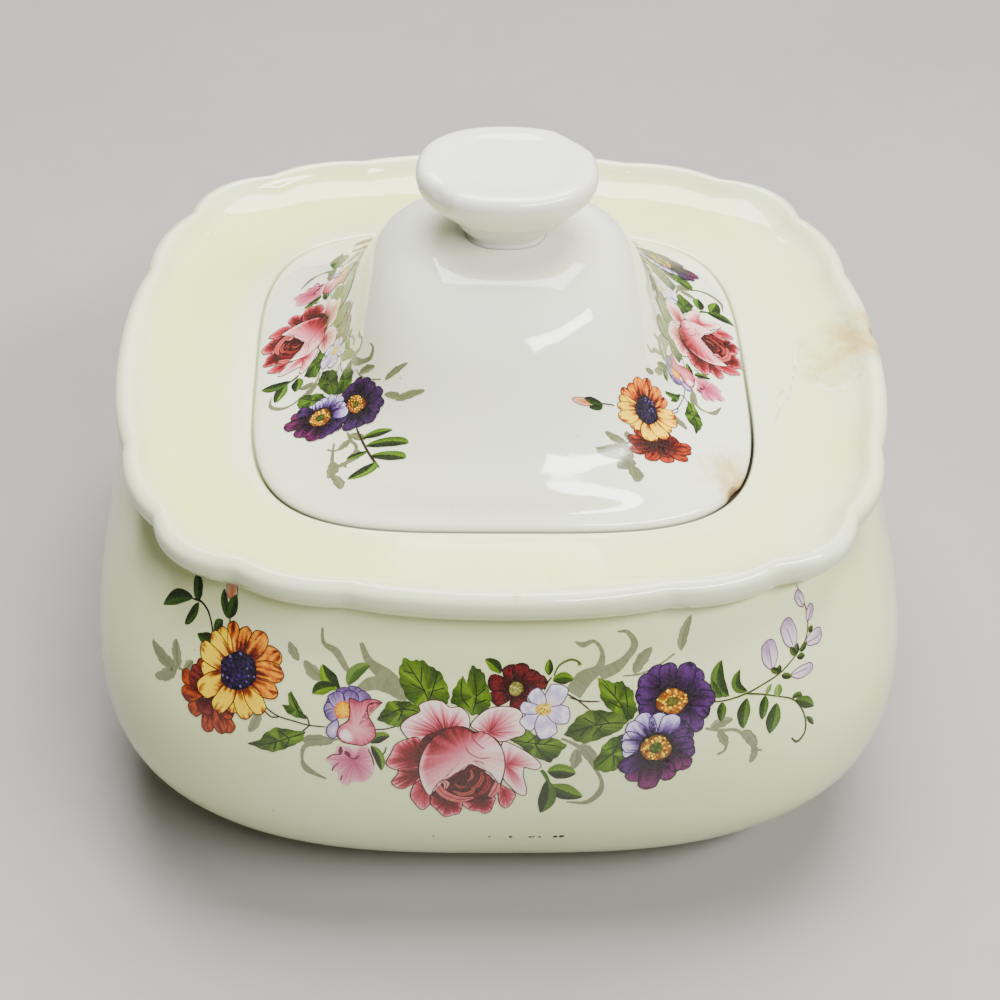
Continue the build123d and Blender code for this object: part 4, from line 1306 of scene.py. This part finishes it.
def print_material(name, settings):
    """Printed and hand-tinted colours under the same gloss as the glaze, a little grainy."""
    nodes = Nodes(name)
    ink = nodes.attribute("print").outputs["Color"]
    grain = nodes.fit(nodes.noise(1900, 3, 0.7), 0.34, 0.68, 0.0, 0.03)
    color = nodes.blend(grain, ink, rgba((0.93, 0.92, 0.86)))
    shade = nodes.fit(nodes.cells(2600, "F1"), 0.15, 0.65, 0.07, 0.0)
    color = nodes.blend(shade, color, rgba((0.20, 0.12, 0.12)))
    wear = nodes.fit(nodes.noise(60, 3), 0.4, 0.75, 0.0, 1.0)
    color = nodes.blend(nodes.math("MULTIPLY", wear, settings.fading), color, rgba((0.90, 0.89, 0.80)))
    nodes.plug(nodes.shader.inputs["Base Color"], color)
    nodes.plug(nodes.shader.inputs["Roughness"], nodes.fit(nodes.noise(300, 4), 0.3, 0.7, 0.10, 0.22))
    nodes.shader.inputs["IOR"].default_value = 1.52
    nodes.bump(nodes.noise(55, 2), 0.35, 0.0006)
    return nodes.material


def hairline_material(name):
    """Old cracks that tea and butter have darkened."""
    nodes = Nodes(name)
    broken = nodes.fit(nodes.noise(500, 3), 0.35, 0.65)
    nodes.plug(nodes.shader.inputs["Base Color"],
               nodes.blend(broken, rgba((0.98, 0.98, 0.95)), rgba((0.78, 0.73, 0.55))))
    nodes.plug(nodes.shader.inputs["Roughness"], nodes.fit(broken, 0.0, 1.0, 0.25, 0.45))
    return nodes.material


def table_material(name, tint):
    nodes = Nodes(name)
    cloud = nodes.fit(nodes.noise(9, 4), 0.3, 0.7)
    dim = [channel * 0.96 for channel in tint]
    nodes.plug(nodes.shader.inputs["Base Color"], nodes.blend(cloud, rgba(tint), rgba(dim)))
    nodes.plug(nodes.shader.inputs["Roughness"], nodes.fit(nodes.noise(120, 3), 0.3, 0.7, 0.5, 0.6))
    return nodes.material


# ---- age: yellowing, stains and chips; painted shade in the gaps ---------------------------------
def mesh_points(mesh):
    places = np.empty(len(mesh.vertices) * 3)
    mesh.vertices.foreach_get("co", places)
    return places.reshape(-1, 3) / MM


def pushed_in(points, centre, radius, depth):
    """Points moved towards the middle of the dish near a place, and how far in each one is, from 0 to 1."""
    dent = np.clip(1 - np.linalg.norm(points - np.array(centre), axis=1) / radius, 0, 1)
    inward = -points * np.array([1, 1, 0.0])
    inward = inward / np.maximum(np.linalg.norm(inward, axis=1, keepdims=True),
                                 1e-6) + np.array([0, 0, -0.5])
    return points + depth * (dent ** 0.7)[:, None] * inward, dent


def age_mesh(mesh, yellowing, painted_shade, stains, chips, dents=()):
    """Writes the age attributes and the painted shade at the vertices; the marks are (place in mm, radius,
    strength).
    """
    points = mesh_points(mesh)
    nothing = np.zeros(len(points))
    # Besides the age marks, one attribute holds painted shade: dark colour in the gap round the lid and in
    # the knob's join.
    values = {"yellowing": yellowing(points), "painted_shade": painted_shade(points), "stain": nothing, "chip": nothing}
    for centre, radius, strength in stains:
        distance = np.linalg.norm(points - np.array(centre), axis=1)
        values["stain"] = np.maximum(values["stain"], strength * np.exp(-(distance / radius) ** 2))
    for centre, radius, depth in chips:
        points, dent = pushed_in(points, centre, radius, depth)
        values["chip"] = np.maximum(values["chip"], np.clip(dent * 2.2, 0, 1))
    for centre, radius, depth in dents:
        points = pushed_in(points, centre, radius, depth)[0]
    mesh.vertices.foreach_set("co", (points * MM).ravel())
    for name, value in values.items():
        mesh.attributes.new(name, "FLOAT", "POINT").data.foreach_set("value", value)
    mesh.update()


def rim_yellowing(points):
    """Yellow in the dished top of the rim, clear at the lip and by the seat, and a trace on the tub."""
    across = np.hypot(points[:, 0] / RIM_X, points[:, 1] / RIM_Y)
    squared = (np.abs(points[:, 0] / RIM_X) ** 3.2 + np.abs(points[:, 1] / RIM_Y) ** 3.2) ** (1 / 3.2)
    top = (points[:, 2] > RIM_Z - 4.3) & (across < 1.4)
    band = np.clip((squared - 0.66) / 0.1, 0, 1) * np.clip((0.98 - squared) / 0.09, 0, 1)
    lean = 0.75 - 0.25 * points[:, 0] / RIM_X
    tub = 0.30 * np.clip((points[:, 2] - 5) / 20, 0.4, 1)
    return np.where(top, band * lean, tub)


def toward_front(points):
    """How much painted shade lies round the lid: most along the front, a trace at the back."""
    return 0.12 + 0.88 * np.clip((0.25 * points[:, 0] - points[:, 1]) / 34, 0, 1)


def seat_painted_shade(points):
    """Painted shade: dark colour in the seat under the lid's edge, where the gap lies in shade."""
    squared = (np.abs(points[:, 0] / SEAT_X) ** 3.96 + np.abs(points[:, 1] / SEAT_Y) ** 3.96) ** (1 / 3.96)
    beside_lid = (points[:, 2] < RIM_Z - 4.0) & (points[:, 2] > SEAT_Z - 1)
    return (beside_lid & (squared < 1.01)) * toward_front(points)


def lid_edge_painted_shade(points):
    """Painted shade on the lower edge of the lid, beside the gap."""
    return np.clip((SEAT_Z + 0.9 - points[:, 2]) / 0.5, 0,
                   1) * (points[:, 2] > SEAT_Z - 0.5) * toward_front(points) * 0.8


def knob_join_painted_shade(points):
    """A trace of painted shade in the join of the knob."""
    return np.clip((LID_TOP_Z + 0.6 - points[:, 2]) / 0.8, 0, 1) * 0.35


def lid_yellowing(points):
    """A trace of yellow low on the lid's shoulders."""
    return 0.18 * np.clip((90 - points[:, 2]) / 16, 0, 1)


# ---- settings ------------------------------------------------------------------------------------
class ButterDishGlaze(bpy.types.PropertyGroup):
    """Colours and age of the glaze."""

    dish_tint: bpy.props.FloatVectorProperty(
        name="Dish tint", description="Glaze colour of the tub and rim", subtype="COLOR", size=3, min=0,
        max=1,
        default=(0.91, 0.94, 0.79),
    )
    lid_tint: bpy.props.FloatVectorProperty(
        name="Lid tint", description="Glaze colour of the lid", subtype="COLOR", size=3, min=0, max=1,
        default=(0.93, 0.94, 0.88),
    )
    knob_tint: bpy.props.FloatVectorProperty(
        name="Knob tint", description="Glaze colour of the knob", subtype="COLOR", size=3, min=0, max=1,
        default=(0.935, 0.94, 0.89),
    )
    rim_tint: bpy.props.FloatVectorProperty(
        name="Rim tint", description="Colour of the yellowed glaze", subtype="COLOR", size=3, min=0, max=1,
        default=(0.91, 0.94, 0.47),
    )
    stain_tint: bpy.props.FloatVectorProperty(
        name="Stain tint", description="Colour of the brown stains", subtype="COLOR", size=3, min=0, max=1,
        default=(0.79, 0.67, 0.36),
    )
    yellowing: bpy.props.FloatProperty(
        name="Yellowing", description="How far the rim has yellowed", default=0.85, min=0, max=1,
        subtype="FACTOR",
    )
    crazing: bpy.props.FloatProperty(
        name="Crazing", description="Strength of the fine cracks", default=0.06, min=0, max=1,
        subtype="FACTOR",
    )
    specks: bpy.props.FloatProperty(
        name="Specks", description="Strength of the kiln specks", default=0.6, min=0, max=1,
        subtype="FACTOR",
    )
    polish: bpy.props.FloatProperty(
        name="Roughness", description="Roughness of the gloss", default=0.05, min=0.02, max=0.6,
        subtype="FACTOR",
    )


class ButterDishPrint(bpy.types.PropertyGroup):
    """Size and state of the printed garlands."""

    dish_scale: bpy.props.FloatProperty(
        name="Dish garland", description="Size of the garlands on the tub", default=1.0, min=0.5, max=1.1,
        subtype="FACTOR",
    )
    lid_scale: bpy.props.FloatProperty(
        name="Lid garland", description="Size of the garlands on the lid", default=0.73, min=0.4, max=0.85,
        subtype="FACTOR",
    )
    fading: bpy.props.FloatProperty(
        name="Fading", description="How far the colours have faded", default=0.015, min=0, max=1,
        subtype="FACTOR",
    )


class ButterDishStage(bpy.types.PropertyGroup):
    """Table, light and camera."""

    window_power: bpy.props.FloatProperty(
        name="Window", description="Power of the window light", default=12.0, min=0, max=100, unit="POWER",
    )
    sky_power: bpy.props.FloatProperty(
        name="Overhead", description="Power of the broad light overhead", default=36.0, min=0, max=100,
        unit="POWER",
    )
    room_light: bpy.props.FloatProperty(
        name="Room", description="Brightness of the light from all round", default=0.12, min=0, max=5,
    )
    table_tint: bpy.props.FloatVectorProperty(
        name="Table tint", description="Colour of the table", subtype="COLOR", size=3, min=0, max=1,
        default=(0.60, 0.59, 0.57),
    )


# ---- operators -------------------------------------------------------------------------------------
def print_garlands(casting, garlands, rings, zero_height, settings, scale, small=False):
    """Prints the garlands of one casting, as pieces that ride on it."""
    material = print_material(f"{casting}_print", settings)
    for side, heading, seed, shift in garlands:
        name = f"{casting}_{side}_garland"
        mesh = print_mesh(name, Chart(rings, heading, zero_height), seed, scale, shift, small)
        add_piece(name, mesh, material, casting, f"{casting}_glaze")


class BUTTER_OT_dish(bpy.types.Operator):
    """Builds the tub with its scalloped rim"""

    bl_idname = "butter.dish"
    bl_label = "Dish"

    def execute(self, context):
        glaze = context.scene.butter_glaze
        mesh = shell_mesh("dish_casting", dish_rings(), BASE_HOLLOW_Z, FLOOR_Z)
        age_mesh(mesh, rim_yellowing, seat_painted_shade, RIM_STAINS, RIM_CHIPS)
        add_piece("dish_casting", mesh, glaze_material("dish_glaze", glaze, glaze.dish_tint), "dish",
                  "dish_glaze", "dish")
        return {"FINISHED"}


class BUTTER_OT_lid(bpy.types.Operator):
    """Builds the domed lid"""

    bl_idname = "butter.lid"
    bl_label = "Lid"

    def execute(self, context):
        glaze = context.scene.butter_glaze
        mesh = shell_mesh("lid_casting", lid_rings(), DOME_HOLLOW_Z, LID_TOP_Z)
        age_mesh(mesh, lid_yellowing, lid_edge_painted_shade, LID_STAINS, LID_CHIPS)
        add_piece("lid_casting", mesh, glaze_material("lid_glaze", glaze, glaze.lid_tint), "lid",
                  "lid_glaze", "lid")
        return {"FINISHED"}


class BUTTER_OT_knob(bpy.types.Operator):
    """Builds the knob on the lid"""

    bl_idname = "butter.knob"
    bl_label = "Knob"

    def execute(self, context):
        glaze = context.scene.butter_glaze
        mesh = shell_mesh("knob_casting", knob_rings(), LID_TOP_Z, KNOB_HOLLOW_Z, KNOB_RING_POINTS)
        age_mesh(mesh, lid_yellowing, knob_join_painted_shade, (), (), KNOB_DENTS)
        add_piece("knob_casting", mesh, glaze_material("knob_glaze", glaze, glaze.knob_tint), "lid",
                  "knob_glaze", "lid_knob")
        return {"FINISHED"}


class BUTTER_OT_dish_garlands(bpy.types.Operator):
    """Prints the garlands on the front and back of the tub"""

    bl_idname = "butter.dish_garlands"
    bl_label = "Dish garlands"

    def execute(self, context):
        settings = context.scene.butter_print
        print_garlands("dish", DISH_GARLANDS, dish_outside_rings(), DISH_PRINT_Z, settings,
                       settings.dish_scale)
        return {"FINISHED"}


class BUTTER_OT_lid_garlands(bpy.types.Operator):
    """Prints the small garlands on the left and right of the lid"""

    bl_idname = "butter.lid_garlands"
    bl_label = "Lid garlands"

    def execute(self, context):
        settings = context.scene.butter_print
        print_garlands("lid", LID_GARLANDS, lid_outside_rings(), LID_PRINT_Z, settings, settings.lid_scale,
                       small=True)
        return {"FINISHED"}


class BUTTER_OT_hairlines(bpy.types.Operator):
    """Draws the hairline cracks in the rim"""

    bl_idname = "butter.hairlines"
    bl_label = "Hairlines"

    def execute(self, context):
        lowest, widest = RIM_Z - RIM_TOP_DROP, RIM_X - RIM_TOP_INSET
        rings = [ring for ring in dish_outside_rings() if ring[0] > lowest and ring[1] < widest]
        chart = Chart(rings, 0, RIM_Z - HAIRLINE_ZERO_DROP)
        spray = Spray(HAIRLINE_SEED)
        for points in RIM_HAIRLINES:
            spray.line(points, HAIRLINE_WIDTH, (1, 1, 1), 0.0)
        places = np.concatenate(spray.places)
        points = chart.points(places[:, 0], places[:, 1], np.full(len(places), HAIRLINE_LIFT)) * MM
        mesh = bpy.data.meshes.new("rim_hairlines")
        mesh.from_pydata(points.tolist(), [], spray.faces)
        add_piece("rim_hairlines", mesh, hairline_material("hairline"), "dish", "dish_glaze")
        return {"FINISHED"}


class BUTTER_OT_stage(bpy.types.Operator):
    """Sets the table, the lights and the camera"""

    bl_idname = "butter.stage"
    bl_label = "Stage"

    def execute(self, context):
        stage = context.scene.butter_stage
        bpy.ops.mesh.primitive_plane_add(size=TABLE_SIZE)
        table = context.object
        table.name = "table"
        table.data.materials.append(table_material("table", stage.table_tint))
        for name, place, aim, size, power in (
            ("window", WINDOW_PLACE, WINDOW_AIM, WINDOW_SIZE, stage.window_power),
            ("overhead", OVERHEAD_PLACE, OVERHEAD_AIM, OVERHEAD_SIZE, stage.sky_power),
        ):
            data = bpy.data.lights.new(name, "AREA")
            data.shape = "RECTANGLE"
            data.size, data.size_y = size
            data.energy = power
            lamp = bpy.data.objects.new(name, data)
            context.scene.collection.objects.link(lamp)
            lamp.location = place
            lamp.rotation_euler = (Vector(aim) - Vector(place)).to_track_quat("-Z", "Y").to_euler()
        world = bpy.data.worlds.new("room")
        world.use_nodes = True
        world.node_tree.nodes["Background"].inputs["Color"].default_value = (1, 1, 1, 1)
        world.node_tree.nodes["Background"].inputs["Strength"].default_value = stage.room_light
        context.scene.world = world
        camera = bpy.data.objects.new("camera", bpy.data.cameras.new("camera"))
        context.scene.collection.objects.link(camera)
        camera.data.lens = CAMERA_LENS
        camera.data.sensor_width = CAMERA_SENSOR
        camera.data.clip_start = CAMERA_NEAR
        turn = Matrix.Rotation(CAMERA_HEADING, 4, "Z") @ Matrix.Rotation(math.pi / 2 - CAMERA_PITCH, 4, "X")
        camera.matrix_world = Matrix.Translation(CAMERA_PLACE) @ turn @ Matrix.Rotation(CAMERA_ROLL, 4, "Z")
        context.scene.camera = camera
        return {"FINISHED"}


OPERATORS = (
    BUTTER_OT_dish, BUTTER_OT_lid, BUTTER_OT_knob, BUTTER_OT_dish_garlands, BUTTER_OT_lid_garlands,
    BUTTER_OT_hairlines, BUTTER_OT_stage,
)


class BUTTER_PT_panel(bpy.types.Panel):
    """Lists the pieces of the butter dish and their settings"""

    bl_label = "Butter dish"
    bl_idname = "BUTTER_PT_panel"
    bl_space_type = "VIEW_3D"
    bl_region_type = "UI"
    bl_category = "Butter dish"

    def draw(self, context):
        for operator in OPERATORS:
            self.layout.operator(operator.bl_idname)
        for group in (context.scene.butter_glaze, context.scene.butter_print, context.scene.butter_stage):
            for name in group.bl_rna.properties.keys():
                if name not in ("rna_type", "name"):
                    self.layout.prop(group, name)


CLASSES = (ButterDishGlaze, ButterDishPrint, ButterDishStage) + OPERATORS + (BUTTER_PT_panel,)


def register():
    for item in CLASSES:
        bpy.utils.register_class(item)
    bpy.types.Scene.butter_glaze = bpy.props.PointerProperty(type=ButterDishGlaze)
    bpy.types.Scene.butter_print = bpy.props.PointerProperty(type=ButterDishPrint)
    bpy.types.Scene.butter_stage = bpy.props.PointerProperty(type=ButterDishStage)


def unregister():
    del bpy.types.Scene.butter_glaze, bpy.types.Scene.butter_print, bpy.types.Scene.butter_stage
    for item in reversed(CLASSES):
        bpy.utils.unregister_class(item)


def main():
    """Builds every piece in order."""
    register()
    bpy.ops.butter.dish()
    bpy.ops.butter.lid()
    bpy.ops.butter.knob()
    bpy.ops.butter.dish_garlands()
    bpy.ops.butter.lid_garlands()
    bpy.ops.butter.hairlines()
    bpy.ops.butter.stage()


if __name__ == "__main__":
    main()
